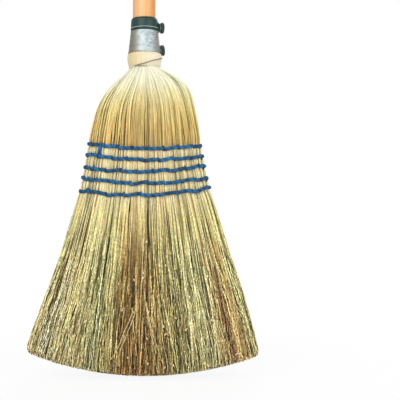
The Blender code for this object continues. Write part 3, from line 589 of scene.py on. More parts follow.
# %% Stalk and packed straw finishes
def stalk_finish(name, roughness, streak_low, streak_high, speckle=0.0):
    """Dry broomcorn: the stored tint, times streaks 14 mm long, times specks 2.4 mm long.

    The specks fade in below the stitching, between 0.24 m and 0.13 m above the tips. Fibres 4 mm long give
    a slight bump. All are a few times longer than they are wide, and coarse enough to show.
    """
    material, tree, shader = finish_of(name, Roughness=roughness, IOR=1.5)
    tint = node(tree, "ShaderNodeAttribute", attribute_name="tint")
    place = node(tree, "ShaderNodeUVMap", uv_map="along")
    stretch = node(tree, "ShaderNodeMapping", {"Vector": place.outputs["UV"], "Scale": (5.0, 1 / 0.014, 1.0)})
    streak = node(tree, "ShaderNodeTexNoise", {"Vector": stretch.outputs[0], "Scale": 1.0, "Detail": 3.0})
    tone = node(tree, "ShaderNodeMapRange", {
        "Value": streak.outputs[0], "From Min": 0.3, "From Max": 0.7,
        "To Min": streak_low, "To Max": streak_high,
    })
    short = node(tree, "ShaderNodeMapping", {"Vector": place.outputs["UV"], "Scale": (3.0, 1 / 0.0024, 1.0)})
    specks = node(tree, "ShaderNodeTexNoise", {"Vector": short.outputs[0], "Scale": 1.0, "Detail": 1.0})
    height = node(tree, "ShaderNodeSeparateXYZ", {0: node(tree, "ShaderNodeTexCoord").outputs["Object"]})
    grown = node(tree, "ShaderNodeMapRange", {
        "Value": height.outputs["Z"], "From Min": 0.24, "From Max": 0.13, "To Min": 0.0, "To Max": speckle,
    })
    centred = node(tree, "ShaderNodeMapRange", {
        "Value": specks.outputs[0], "From Min": 0.3, "From Max": 0.7, "To Min": -1.0, "To Max": 1.0,
    })
    speck = node(tree, "ShaderNodeMath", {0: centred.outputs[0], 1: grown.outputs[0], 2: 1.0},
                 operation="MULTIPLY_ADD")
    both = node(tree, "ShaderNodeMath", {0: tone.outputs[0], 1: speck.outputs[0]}, operation="MULTIPLY")
    colour = node(tree, "ShaderNodeVectorMath", {0: tint.outputs["Color"], 1: both.outputs[0]},
                  operation="MULTIPLY")
    tree.links.new(colour.outputs[0], shader.inputs["Base Color"])
    fibre = node(tree, "ShaderNodeMapping", {"Vector": place.outputs["UV"], "Scale": (14.0, 240.0, 1.0)})
    fine = node(tree, "ShaderNodeTexNoise", {"Vector": fibre.outputs[0], "Scale": 1.0, "Detail": 2.0})
    bump = node(tree, "ShaderNodeBump", {
        "Height": fine.outputs[0], "Strength": 0.35, "Distance": 0.08 * MM,
    })
    tree.links.new(bump.outputs[0], shader.inputs["Normal"])
    return material


broomcorn = stalk_finish("broomcorn_stalk", 0.55, 0.7, 1.24, speckle=0.85)
# The seed branches are speckled, because each seed that was threshed off leaves a pale scar
speckled = stalk_finish("broomcorn_seed_branch", 0.6, 0.8, 1.2, speckle=0.9)
print("finishes:", broomcorn.name, speckled.name)

# %% [markdown]
# ## Packed straw inside
#
# Between the stalks one looks into shadow, not through the broom. The inner straw is packed too tightly to be
# seen one by one, so it is a single closed form a few millimetres under the surface, ribbed like the ends of
# stalks and coloured as straw in deep shade. It has the round socket that the pole slides into.

# %% Packed straw
pole_low, pole_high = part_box("handle")
POLE_RADIUS = 14 * MM
POLE_TIP_RADIUS = 11.5 * MM
TAPER_LENGTH = 45 * MM
# The play round the pole, in the straw and in the collar
POLE_PLAY = 0.3 * MM
PACKED_SIDES = 420
PACKED_RIB = 0.35 * MM
# Drop and depth under the head's surface, in millimetres. The first row is above the waist, in the neck
PACKED_DEPTHS_MM = np.array([(-11, 1.9), (12, 2.2), (60, 3.4), (150, 3.6), (200, 8), (243, 17)])
PACKED_DROPS = np.array([-11, 2, 6, 12, 20, 30, 42, 56, 72, 90, 110, 130, 152, 175, 200, 225, 243]) * MM
# Drop in millimetres and how much of the straw's colour shows in the shade
PACKED_SHADES = np.array([(-11, 0.9), (40, 0.6), (90, 0.42), (150, 0.4), (243, 0.2)])
SOCKET_SHADE = 0.3


def packed_straw():
    """A closed wall: down the outside, with fine ribs round it, and up again along the pole's socket.

    The ribs are a sine of the share, with a slower sine inside it that makes them uneven.
    """
    share, drop = np.arange(PACKED_SIDES) / PACKED_SIDES, PACKED_DROPS
    depth = np.interp(drop / MM, *PACKED_DEPTHS_MM.T) * MM
    ribs = PACKED_RIB * np.sin(TURN * 70 * share + 2.2 * np.sin(TURN * 9 * share))
    ribbed = depth[:, None] + ribs[None] * (drop > 0)[:, None]
    outside = head(share[None], np.maximum(drop, 0)[:, None], ribbed)
    outside[drop < 0, :, 2] = STRAW_HEIGHT - drop[drop < 0][:, None]
    socket, tip, below = POLE_RADIUS + POLE_PLAY, POLE_TIP_RADIUS + POLE_PLAY, pole_low.z - 1 * MM
    radius = np.array([1 * MM, tip, socket, socket])
    height = np.array([below, below, pole_low.z + TAPER_LENGTH, STRAW_HEIGHT - drop[0]])
    inside = turned(radius, height, PACKED_SIDES)[0]
    shade = np.interp(drop / MM, *PACKED_SHADES.T)[:, None]
    tint = linear("D09A3C")[None] * np.concatenate([[[SOCKET_SHADE]], shade[::-1], [[SOCKET_SHADE]] * 4])
    floor_ring = outside[-1:] * np.array([0.02, 0.02, 1.0])
    rings = np.concatenate([floor_ring, outside[::-1], inside[::-1]])
    return rings[None], tint[None]


packed_rings, packed_tint = packed_straw()
packed = stalk_finish("packed_straw_in_shade", 0.8, 0.6, 1.1)
piece("packed_stalks", packed, "head", "sorghum_straw", (packed_rings, packed_tint, "capped"),
      replaced=("straw_core",))

# %% [markdown]
# ## The outer stalks
#
# These run the whole length of the head, from under the neck's binding to the trimmed edge. Hair particles
# could grow them, but particles can't be gathered by stitches and leave no mesh. Every stalk is a path on the
# head's form: a share of the girth that wanders a little, a drop from its start to its tip, and a depth that
# puts it in one of five layers. Some stalks start lower down, from beneath their neighbours, since the head
# widens faster than stalks do. A few partings push their neighbours aside and let the shadow show.

# %% Waves and partings
# Drops at which a stalk has a point: four to a row in the stitched band, and fewer above and below it
STALK_DROPS = np.concatenate([
    np.array([-2.0, 1, 4, 8, 13, 19, 26, 34, 44, 56, 68, 79]),
    FIRST_ROW / MM + ROW_PITCH / MM * np.arange(-0.5, ROW_COUNT - 0.24, 0.25),
    np.array([163, 176, 192, 210, 230, 251, 273, 296, 319, 341.0]),
]) * MM
# A parting: where across the front (-1 to 1), from which drop to which, and its width, in millimetres
FRONT_PARTINGS = (
    (-0.55, 52, 96, 2.0), (-0.60, 70, 92, 1.4), (-0.36, 44, 90, 1.6), (-0.20, 30, 60, 1.2),
    (0.01, 34, 92, 1.6), (0.10, 40, 66, 1.6), (0.30, 60, 92, 1.2), (-0.80, 14, 60, 1.6),
    (-0.70, 10, 48, 1.4), (-0.88, 60, 92, 1.6), (0.89, 8, 84, 3.2), (0.72, 40, 92, 1.2),
    (-0.22, 152, 215, 1.6), (0.04, 150, 205, 1.8), (0.22, 176, 200, 1.4), (0.42, 182, 230, 1.6),
    (-0.62, 190, 260, 1.2), (0.62, 200, 280, 1.4), (-0.40, 215, 300, 1.2), (-0.26, 270, 325, 2.2),
    (0.24, 262, 341, 1.8), (-0.16, 310, 341, 2.4),
)


def wander(chance, group, drop, sizes_mm, lengths_mm):
    """A sideways wave for each stalk, the same for all stalks of one group.

    It is a sum of sines of the drop with random heights, lengths and phases.
    """
    total = np.zeros(np.broadcast_shapes((len(group), 1), drop.shape))
    groups = group.max() + 1
    for size, (shortest, longest) in zip(sizes_mm, lengths_mm):
        height = size * MM * chance.standard_normal(groups)[group, None]
        length = chance.uniform(shortest, longest, groups)[group, None] * MM
        phase = chance.uniform(0, TURN, groups)[group, None]
        total = total + height * np.sin(TURN * drop / length + phase)
    return total


def parted(across, drop, partings):
    """Sideways shift that opens partings.

    It goes away from each parting's middle by half its width, which falls off as an exponential of minus
    the distance, and fades out at the parting's ends.
    """
    shift = np.zeros(np.broadcast_shapes(across.shape, drop.shape))
    reach = np.interp(drop, drops, right_width)
    for place, start, end, width in partings:
        opened = eased(drop, (start - 8) * MM, (start + 10) * MM)
        fade = opened * (1 - eased(drop, (end - 10) * MM, (end + 8) * MM))
        away = (across - place) * reach
        shift = shift + np.sign(away) * 0.5 * width * MM * fade * np.exp(-np.abs(away) / (2.5 * width * MM))
    return shift


print(f"{len(STALK_DROPS)} points to a stalk, {len(FRONT_PARTINGS)} partings")

# %% Depths and radii of the outer stalks
# Stalks lie in layers, and in the skirt a stalk and its lock sink by up to so many millimetres more
LAYERS = 5
LAYER_STEP = 0.55 * MM
OWN_SINK_MM = 8
LOCK_SINK_MM = 1.5
# How deep a stalk is tucked under the neck's binding, and how deep its upper end is where it starts late
TUCK_DEPTH = 1.5 * MM
LATE_DEPTH = 2 * MM
RADIUS_DROPS = np.array([-2, 6, 30, 60, 150, 200, 280, 341]) * MM
STALK_RADII = np.array([0.26, 0.3, 0.38, 0.44, 0.47, 0.5, 0.46, 0.36]) * MM


def stalk_depths(chance, share, drop, start, lock):
    """How deep each stalk lies, and how much of that is shade.

    The rows draw it in, a slow wave and a random number lift it a little, and its two upper ends are put
    under their neighbours. Its layer, and in the skirt two random numbers, sink it, and that is its shade.
    """
    count = len(drop)
    layer = chance.integers(0, LAYERS, (count, 1)) * LAYER_STEP
    loft = 0.28 * MM * np.sin(TURN * (23 * share + 3 * drop)) + 0.2 * MM * chance.standard_normal((count, 1))
    tucked = TUCK_DEPTH * (1 - eased(drop, -2 * MM, 7 * MM))
    hidden = (start > 0) * LATE_DEPTH * (1 - eased(drop - start, 0, 16 * MM))
    own_sink = OWN_SINK_MM * MM * chance.random((count, 1))
    lock_sink = LOCK_SINK_MM * MM * chance.random(lock.max() + 1)[lock, None]
    sunk = layer + eased(drop, LAST_ROW + 5 * MM, EDGE_DROP) * (own_sink + lock_sink)
    return row_draw(drop) + loft * eased(drop, 5 * MM, 40 * MM) + tucked + hidden + sunk, sunk


def stalk_radii(chance, drop, start):
    """Radii along each stalk: read from the table, times a random size, and thin where it starts late."""
    radius = np.interp(drop, RADIUS_DROPS, STALK_RADII) * (0.7 + 0.6 * chance.random((len(drop), 1)) ** 1.5)
    return radius * np.where(start > 0, 0.35 + 0.65 * eased(drop - start, 0, 20 * MM), 1.0)


print(f"{LAYERS} layers, and radii of {STALK_RADII.min() / MM:.2f} to {STALK_RADII.max() / MM:.2f} mm")

# %% Paths of the outer stalks
STALKS_PER_LOCK = 6.5
LOCK_DRAW = 0.24
# The share of stalks that start at the waist, and where the others start, in millimetres below it
WHOLE_STALKS = 0.55
LATE_STARTS_MM = (4, 74)
# How uneven the trimmed tips are
TIP_SPREAD_MM = 1.6
# A shoulder lobe stands out most at this drop, and over about this height
LOBE_DROP = 22 * MM
LOBE_HEIGHT = 20 * MM


def stalk_paths(chance, low, high, count, partings, toward, shoulder):
    """Paths, radii, places, drops, locks and shades of stalks between two shares of the girth.

    `toward` is +1 where the share grows towards +X (the front) and -1 where it grows towards -X (the back),
    so that partings open the right way. `shoulder` stands the stalks out near the top, for a shoulder lobe.
    Six or seven neighbours make a lock, which draws together and finds its own depth in the skirt.
    """
    rank = np.sort(np.clip((np.arange(count) + chance.uniform(-1.5, 2.5, count)) / count, 0, 0.9999))
    share = (low + (high - low) * rank)[:, None]
    lock = (rank * count / STALKS_PER_LOCK).astype(int)
    whole = chance.random(count) < WHOLE_STALKS
    start = np.where(whole, 0.0, chance.uniform(*LATE_STARTS_MM, count))[:, None] * MM
    shortened = np.abs(chance.normal(0, TIP_SPREAD_MM, (count, 1))) * MM
    drop = STALK_DROPS + start * np.clip((FIRST_ROW - STALK_DROPS) / FIRST_ROW, 0, None)
    drop = drop - shortened * np.clip((drop - LAST_ROW) / (EDGE_DROP - LAST_ROW), 0, 1)
    x = head(share, drop)[..., 0]
    across = x / half_width(x, drop)
    free = 0.1 + 0.2 * (1 - eased(drop, 60 * MM, FIRST_ROW)) + eased(drop, LAST_ROW, 300 * MM)
    single = np.arange(count)
    shift = toward * parted(across, drop, partings)
    shift = shift + free * wander(chance, single, drop, (1.0, 0.6, 0.35), ((120, 220), (40, 75), (16, 28)))
    shift = shift + free * wander(chance, lock, drop, (0.8, 0.35), ((120, 220), (50, 90)))
    centre = low + (high - low) * (lock[:, None] + 0.5) / (lock.max() + 1)
    drawn = LOCK_DRAW * eased(drop, LAST_ROW + 8 * MM, LAST_ROW + 90 * MM) * (centre - share)
    moved, crease = gathered(share + drawn + shift / BAND_GIRTH, drop)
    depth, sunk = stalk_depths(chance, share, drop, start, lock)
    lobe = shoulder * np.exp(-(((drop - LOBE_DROP) / LOBE_HEIGHT) ** 2))
    points = head(moved, np.maximum(drop, 0), depth + crease - lobe)
    points[..., 2] += np.clip(-drop, 0, None)
    return points, stalk_radii(chance, drop, start), across, drop, lock, sunk


trial = stalk_paths(np.random.default_rng(0), 0.7, 0.8, 20, (), 1, 0.0)[0]
print(f"twenty trial stalks go from {trial[..., 2].max():.4f} m down to {trial[..., 2].min():.4f} m")

# %% The pieces of outer stalks
SIDE_SHARE = 0.062
BACK = (SIDE_SHARE, 0.5 - SIDE_SHARE)
LEFT = (0.5 - SIDE_SHARE, 0.5 + SIDE_SHARE)
FRONT = (0.5 + SIDE_SHARE, 1 - SIDE_SHARE)
RIGHT = (1 - SIDE_SHARE, 1 + SIDE_SHARE)
# Name, from and to which share, stalks, partings, direction, shoulder, solid, seed
OUTER_PIECES = (
    ("front_stalks_1", FRONT, 720, FRONT_PARTINGS, 1, 0.0, "front_cover_straw", 21),
    ("front_stalks_2", FRONT, 720, FRONT_PARTINGS, 1, 0.0, "front_cover_straw", 25),
    ("back_stalks_1", BACK, 600, (), -1, 0.0, "back_cover_straw", 22),
    ("back_stalks_2", BACK, 600, (), -1, 0.0, "back_cover_straw", 26),
    ("right_shoulder_stalks", RIGHT, 420, (), 1, 2.0 * MM, "right_shoulder_straw", 23),
    ("left_shoulder_stalks", LEFT, 420, (), 1, 0.0, "left_shoulder_straw", 24),
)
for name, shares, count, partings, toward, shoulder, node_name, seed in OUTER_PIECES:
    chance = np.random.default_rng(seed)
    points, radius, across, drop, lock, sunk = stalk_paths(chance, *shares, count, partings, toward, shoulder)
    # How far the stalk is sunk is painted into its tint as shade
    tint = straw_tint(chance, toward * across[:, -1], drop, lock, sunk)
    rings = rods(points, radius, 3, (0, 1, 0), spin=chance.uniform(0, TURN, (count, 1)))
    piece(name, broomcorn, "head", "sorghum_straw", (rings, tint, "capped"), replaced=(node_name,))

# %% [markdown]
# ## The skirt's fine branches
#
# Below the stitching each stalk splits into springy seed branches, which make a broom frizzy and let it catch
# dust. They fill the skirt from front to back. The branches are rods too, only thinner, and each leaves its
# stalk's line at a small angle and then curls. Another set of shorter, straighter stalks fills the inside, so
# that the broom is solid straw when it is seen from below.

# %% Fine branches
# The power of the skirt's oval, and the least thickness of its sides as a share of the middle's
SKIRT_POWER = 2.6
SIDE_THICKNESS = 0.12
# How far a branch lies from its lock's middle, and how much of its depth it has from its lock, as shares
LOCK_SPREAD = 0.016
LOCK_DEPTH = 0.15
# How uneven the trimmed ends are, the share of branches that end sooner, and at which shares of the length
TRIM_SPREAD_MM = 1.3
SHORT_BRANCHES = 0.35
SHORT_LENGTHS = (0.45, 0.98)


def skirt_points(across, deep, drop):
    """Points in the skirt: x is a share of the half width, and y a share of the half thickness.

    The half thickness falls towards the sides as in an oval: a power of across is taken from one, and the
    rest is raised to one over that power.
    """
    across = np.clip(across, -1, 1)
    thin = np.clip(1 - np.abs(across) ** SKIRT_POWER, 0, 1) ** (1 / SKIRT_POWER)
    y = deep * half_depth(drop) * np.maximum(thin, SIDE_THICKNESS)
    return np.stack([across * half_width(across, drop), y, level(across, deep, drop)], axis=-1)


def branches(chance, locks, count, rows, deep_range, start_mm, lean, curl_mm, radius_mm):
    """Paths, radii, places, depths, drops and locks of fine branches.

    A lock has its place, depth, lean and slow curl, and its branches add their own. A place past the side
    of the skirt is turned back into it.
    """
    lock = chance.integers(0, locks, count)
    places = 2 * (np.arange(locks) + chance.random(locks)) / locks - 1
    across = places[lock] + LOCK_SPREAD * chance.standard_normal(count)
    lock_deep, own_deep = chance.uniform(*deep_range, locks)[lock], chance.uniform(*deep_range, count)
    deep = LOCK_DEPTH * lock_deep + (1 - LOCK_DEPTH) * own_deep
    start = chance.uniform(*start_mm, count) * MM
    end = EDGE_DROP - np.abs(chance.normal(0, TRIM_SPREAD_MM, count)) * MM
    short = chance.random(count) < SHORT_BRANCHES
    end = np.where(short, start + (end - start) * chance.uniform(*SHORT_LENGTHS, count), end)
    along = np.linspace(0, 1, rows)[None]
    drop = start[:, None] + (end - start)[:, None] * along
    slope = lean * (0.5 * chance.standard_normal(locks)[lock] + chance.standard_normal(count))[:, None]
    single = np.arange(count)
    curl = wander(chance, single, drop, curl_mm, ((50, 110), (20, 40), (9, 16)))
    curl = curl + 0.5 * wander(chance, lock, drop, curl_mm[:2], ((60, 130), (24, 50)))
    reach = np.interp(drop, drops, right_width)
    place = across[:, None] + (slope * (drop - start[:, None]) + curl * along ** 0.7) / reach
    place = np.where(np.abs(place) > 1, np.sign(place) * (2 - np.abs(place)), place)
    lift = wander(chance, single, drop, curl_mm, ((50, 110), (20, 45), (9, 18))) * along
    depth = np.clip(deep[:, None] + lift / half_depth(drop), -1, 1)
    radius = chance.uniform(*radius_mm, count)[:, None] * MM * (1.0 - 0.4 * along)
    return skirt_points(place, depth, drop), radius, place, depth, drop, lock


# Sizes of the slow, middle and quick curls, in millimetres
FINE = (0.8, 0.45, 0.4)
STIFF = (1.0, 0.6, 0.2)
trial = branches(np.random.default_rng(0), 4, 20, 8, (-1.0, -0.5), (150, 290), 0.04, FINE, (0.4, 0.66))[0]
print("twenty trial branches reach down to", trial[..., 2].min().round(4), "m")

# %% The pieces of branches and inner stalks
# Name, locks, branches, rows, depths, starting drops, lean, curls, radii, the side they face, seed, solids
BRANCH_PIECES = (
    ("front_branches_1", 110, 1350, 24, (-1.0, -0.5), (150, 290), 0.04, FINE, (0.4, 0.66), 1, 31,
     ("skirt_straw_1", "skirt_straw_2", "skirt_straw_3")),
    ("front_branches_2", 110, 1350, 24, (-1.0, -0.55), (170, 310), 0.06, FINE, (0.34, 0.58), 1, 34, ()),
    ("front_branches_3", 110, 1350, 24, (-1.0, -0.55), (190, 315), 0.07, FINE, (0.28, 0.5), 1, 35, ()),
    ("back_branches", 150, 2300, 14, (0.5, 1.0), (150, 300), 0.06, FINE, (0.4, 0.66), -1, 32,
     ("skirt_straw_4", "skirt_straw_5", "skirt_straw_6")),
    ("inner_stalks", 300, 2400, 7, (-0.7, 0.7), (150, 215), 0.02, STIFF, (0.5, 0.75), 1, 33, ()),
)
for name, locks, count, rows, deeps, starts, lean, curl_mm, radius_mm, facing, seed, nodes in BRANCH_PIECES:
    chance = np.random.default_rng(seed)
    points, radius, place, deep, drop, lock = branches(
        chance, locks, count, rows, deeps, starts, lean, curl_mm, radius_mm)
    # How far a branch lies inside the skirt, which the tint paints as shade
    inside = (1 - np.abs(deep)) * half_depth(drop)
    tint = straw_tint(chance, facing * place[:, -1], drop, lock, inside, hue=0.75)
    rings = rods(points, radius, 3, (0, 1, 0), spin=chance.uniform(0, TURN, (count, 1)))
    piece(name, speckled, "head", "sorghum_straw", (rings, tint, "capped"), replaced=nodes)

# %% [markdown]
# ## Seeds and stray stalks
#
# Threshing never takes every seed off the branches, and a few stalks always lie across the others. Both are
# small, but they are what the eye finds first in a clean skirt. A seed is a short rod that swells in its
# middle. The strays are placed one by one: where each one starts and ends across the skirt, and how far down.

# %% Seeds
SEED_COUNT = 130
SEED_LENGTH = 3.4 * MM
# Radii from one end of a seed to the other
SEED_RADII = np.array([0.25, 0.85, 1.05, 0.8, 0.2]) * MM
SEED_DROPS_MM = (185, 335)
# The share of seeds that lie on the front
FRONT_SEEDS = 0.6

chance = np.random.default_rng(41)
facing = np.where(chance.random(SEED_COUNT) < FRONT_SEEDS, -1.0, 1.0)
seed_across = chance.uniform(-0.97, 0.97, SEED_COUNT)
seed_deep = facing * chance.uniform(0.97, 1.0, SEED_COUNT)
seed_middle = skirt_points(seed_across, seed_deep, chance.uniform(*SEED_DROPS_MM, SEED_COUNT) * MM)
aim_x = chance.normal(0, 0.4, SEED_COUNT)
aim_y = chance.normal(0, 0.1, SEED_COUNT)
aim = np.stack([aim_x, aim_y, -np.ones(SEED_COUNT)], axis=-1)
ahead = np.linspace(-0.5, 0.5, len(SEED_RADII))
seed_paths = seed_middle[:, None] + SEED_LENGTH * ahead[None, :, None] * aim[:, None]
seed_radius = SEED_RADII * chance.uniform(0.6, 1.1, (SEED_COUNT, 1))
seed_tint = linear("F3E6B8", "E6C98A", "B98A4A")[chance.integers(0, 3, SEED_COUNT)][:, None]
seed_tint = seed_tint * np.ones((1, len(SEED_RADII), 1))
print(SEED_COUNT, "seeds,", int((facing < 0).sum()), "of them on the front")

# %% Stray stalks
# Across and drop in millimetres at the start, then at the end
STRAYS = np.array([
    (0.8, 245, 0.97, 305), (-0.12, 268, -0.3, 330), (-0.08, 262, -0.22, 318), (0.0, 250, 0.1, 318),
    (0.02, 262, 0.16, 330), (0.55, 235, 0.62, 330), (0.9, 210, 0.86, 300), (-0.68, 180, -0.72, 290),
    (-0.35, 190, -0.31, 300), (0.3, 200, 0.36, 290), (-0.02, 190, -0.05, 300), (0.72, 262, 0.6, 335),
    (-0.55, 255, -0.5, 335),
])
STRAY_ROWS = 16
# About the skirt's half width where the strays lie, which turns a wave in metres into a share of it
STRAY_REACH = 130 * MM

stray_along = np.linspace(0, 1, STRAY_ROWS)[None]
stray_drop = (STRAYS[:, 1:2] + (STRAYS[:, 3:4] - STRAYS[:, 1:2]) * stray_along) * MM
stray_wave = wander(chance, np.arange(len(STRAYS)), stray_drop, (0.6, 0.3), ((40, 70), (14, 24)))
stray_across = STRAYS[:, 0:1] + (STRAYS[:, 2:3] - STRAYS[:, 0:1]) * stray_along ** 1.3
stray_paths = skirt_points(stray_across + stray_wave / STRAY_REACH, -1.0 - 0 * stray_drop, stray_drop)
stray_radius = np.broadcast_to(np.linspace(0.5, 0.32, STRAY_ROWS)[None] * MM, stray_drop.shape)
stray_tint = np.broadcast_to(linear("EAD9A2"), stray_paths.shape)
piece("seeds_and_strays", broomcorn, "head", "sorghum_straw",
      (rods(seed_paths, seed_radius, 6, (0, 1, 0)), seed_tint, "capped"),
      (rods(stray_paths, stray_radius, 4, (0, 1, 0)), stray_tint, "capped"))

# %% [markdown]
# ## The blue stitching twine
#
# The broom is sewn through with one dyed twine of three plies. Its rows aren't ruled lines: a stitch sinks at
# its ends and slants a little, and the rows wave where the straw gives. A painted tube would miss the lay of
# the plies, so the path is one smooth line, and three thinner rods wind round it. The twine goes once round
# for each row and then drops to the next row near the left edge, in a link that shows only between the first
# two rows. The others sink into the straw and come up again at their row.

# %% One row of twine
STITCHES = round(BAND_GIRTH / (18.6 * MM))
STITCH_LENGTH = BAND_GIRTH / STITCHES
STITCH_SLANT = 1.3 * MM
STITCH_DIP = 0.7 * MM
# Each row's stitches start by this share of a stitch sooner than those of the row above
STITCH_SHIFT = 0.37
ROW_TILTS = np.array([-1.2, -1.15, 1.15, 0.0, 1.95]) * MM
ROW_LIFTS = np.array([-0.5, 0.1, 0.0, 0.0, 0.0]) * MM
# How far the twine's middle stands out from the straw, and how far apart its points are
TWINE_SEAT = 1.3 * MM
TWINE_STEP = 0.8 * MM


def row_offset(row, share, across):
    """Height of a row above its level, and how far along its stitch each place is.

    The height is a tilt across the head, two slow waves, and stitches that slant up and start again lower.
    """
    stitch = (share * BAND_GIRTH / STITCH_LENGTH + STITCH_SHIFT * row) % 1.0
    slow = np.sin(TURN * (7 * share + 0.31 * row)) + 0.7 * np.sin(TURN * (13 * share + 0.17 * row * row))
    wave = (0.3 + 0.12 * row) * MM * slow
    return ROW_TILTS[row] * across + ROW_LIFTS[row] + wave + STITCH_SLANT * (stitch - 0.5), stitch


def row_line(row, start, end):
    """One row from share to share, on the straw's drawn-in surface, dipping where a stitch ends."""
    share = np.linspace(start, end, int((end - start) * BAND_GIRTH / TWINE_STEP))
    drop = FIRST_ROW + row * ROW_PITCH
    across = head(share, drop)[:, 0] / np.interp(drop, drops, right_width)
    offset, stitch = row_offset(row, share, across)
    dip = STITCH_DIP * np.abs(2 * stitch - 1) ** 7
    points = head(share, drop, row_draw(drop) - TWINE_SEAT + dip)
    points[:, 2] += offset
    return points


print(f"{STITCHES} stitches of {STITCH_LENGTH / MM:.1f} mm to a row")

# %% Links and the whole path
# Where each link meets the next row, from the left edge (-1) to the middle (0) of the front
LINK_PLACES = np.array([-0.77, -0.85, -0.905, -0.89])
# How far a link sinks into the straw on its way down. The first one stands out from it
LINK_DEPTHS = np.array([-0.3, 8.0, 8.0, 8.0]) * MM
# How far from its link a row starts, and how far round it goes, as shares of the girth
ROW_START = 0.0015
ROW_SPAN = 0.9975


def link_line(row, leave, arrive, depth):
    """The way to the next row: it moves sideways early on, and is deepest a quarter of the way down."""
    down = np.linspace(0.1, 0.9, 13)
    drop = FIRST_ROW + (row + down) * ROW_PITCH
    share = leave + (arrive - leave) * eased(down, 0.1, 0.6)
    return head(share, drop, 0.2 * MM - TWINE_SEAT + depth * np.sin(np.pi * down ** 0.5) ** 0.7)


def front_share(place, drop):
    """The share of the girth at a place across the front, from the left edge (-1) to the right (1)."""
    shares = np.linspace(0.5, 1, 400)
    x = head(shares, drop)[:, 0]
    return np.interp(place, x / half_width(x, drop), shares)


def twine_path():
    """All rows and links as one line, rounded a little at its corners and read again at even steps."""
    parts, share = [], front_share(LINK_PLACES[0], FIRST_ROW) + ROW_START
    for row in range(ROW_COUNT):
        leave = share + ROW_SPAN
        parts.append(row_line(row, share, leave))
        if row < ROW_COUNT - 1:
            arrive = 1 + front_share(LINK_PLACES[row], FIRST_ROW + row * ROW_PITCH)
            parts.append(link_line(row, leave, arrive, LINK_DEPTHS[row]))
            share = arrive - 1
    line = np.concatenate(parts)
    window = np.array([1, 2, 1]) / 4
    smooth = np.stack([np.convolve(axis, window, "valid") for axis in line.T], axis=-1)
    line = np.concatenate([line[:1], smooth, line[-1:]])
    length = np.concatenate([[0], np.linalg.norm(np.diff(line, axis=0), axis=1).cumsum()])
    even = np.arange(0, length[-1], TWINE_STEP)
    return np.stack([np.interp(even, length, axis) for axis in line.T], axis=-1), even


twine_line, twine_length = twine_path()
print(f"twine: {twine_length[-1]:.2f} m in {ROW_COUNT} rows")

# %% The ends of stitches
# How far a stitch's end goes up from its row and in, and how far one at the right edge goes in
END_RISE = 4.2 * MM
END_SINK = 2.8 * MM
EDGE_END_SINK = 2.6 * MM
# Where on the girth the ends at the right edge turn down, and how far, as a share of the rows' pitch
EDGE_END_SHARE = 0.974
EDGE_END_DROP = 0.4
# How far out an end lies, as a share of the twine's seat, and its points
END_SEAT = 0.8
END_POINTS = 7


def stitch_ends():
    """Short lines where each stitch goes into the straw: up from its row, and inwards."""
    lines = []
    up = np.linspace(0, 1, END_POINTS)
    for row in range(ROW_COUNT):
        drop = FIRST_ROW + row * ROW_PITCH
        for number in range(STITCHES):
            share = ((number + 1 - STITCH_SHIFT * row) / STITCHES) % 1.0
            across = head(share, drop)[0] / np.interp(drop, drops, right_width)
            depth = row_draw(drop) - END_SEAT * TWINE_SEAT + END_SINK * up ** 2.5
            line = head(share, drop - END_RISE * up, depth)
            line[:, 2] += row_offset(row, share, across)[0]
            lines.append(line)
    return np.stack(lines)


def edge_end(row):
    """The short end of a stitch that turns down over the right edge of the straw, and inwards."""
    down = np.linspace(0, 1, END_POINTS)
    share = EDGE_END_SHARE + 0.003 * np.sin(9.0 * row)
    drop = FIRST_ROW + (row + EDGE_END_DROP * down) * ROW_PITCH
    points = head(share, drop, 0.2 * MM - END_SEAT * TWINE_SEAT + EDGE_END_SINK * down ** 2)
    points[:, 2] += ROW_TILTS[row]
    return points


short_lines = np.concatenate([stitch_ends(), [edge_end(row) for row in range(ROW_COUNT - 1)]])
print(len(short_lines), "ends of stitches")

# %% [markdown]
# Dyed cotton or polypropylene twine is matt, with a soft sheen over its fibres. The colour of each ply
# changes where the dye took less, and fibres run along the ply. Real fibres are too fine to show, so they are
# drawn as marks 2.4 mm long and 0.6 mm wide.

# %% Twine finish
def twine_finish():
    """Dyed twine: the stored blue times the marks of its fibres, which also give it a bump."""
    material, tree, shader = finish_of("dyed_blue_twine", Roughness=0.7, IOR=1.5)
    tint = node(tree, "ShaderNodeAttribute", attribute_name="tint")
    place = node(tree, "ShaderNodeUVMap", uv_map="along")
    stretch = node(tree, "ShaderNodeMapping", {"Vector": place.outputs["UV"], "Scale": (14.0, 420.0, 1.0)})
    fibre = node(tree, "ShaderNodeTexNoise", {"Vector": stretch.outputs[0], "Scale": 1.0, "Detail": 3.0})
    tone = node(tree, "ShaderNodeMapRange", {
        "Value": fibre.outputs[0], "From Min": 0.3, "From Max": 0.7, "To Min": 0.3, "To Max": 1.75,
    })
    colour = node(tree, "ShaderNodeVectorMath", {0: tint.outputs["Color"], 1: tone.outputs[0]},
                  operation="MULTIPLY")
    tree.links.new(colour.outputs[0], shader.inputs["Base Color"])
    bump = node(tree, "ShaderNodeBump", {"Height": fibre.outputs[0], "Strength": 0.6, "Distance": 0.15 * MM})
    tree.links.new(bump.outputs[0], shader.inputs["Normal"])
    return material


twine_blue = twine_finish()
print("finish:", twine_blue.name)

# %% Plies and the piece of twine
PLIES = 3
# Length of one turn of the plies, and how far their middles are from the twine's
TWINE_LAY = 8 * MM
PLY_OFFSET = 0.95 * MM
PLY_RADIUS = 1.4 * MM
# The same two for the ends of stitches, which are drawn thin and go in over about this length
END_PLY_OFFSET = 0.5 * MM
END_PLY_RADIUS = 0.7 * MM
END_LENGTH = 5 * MM


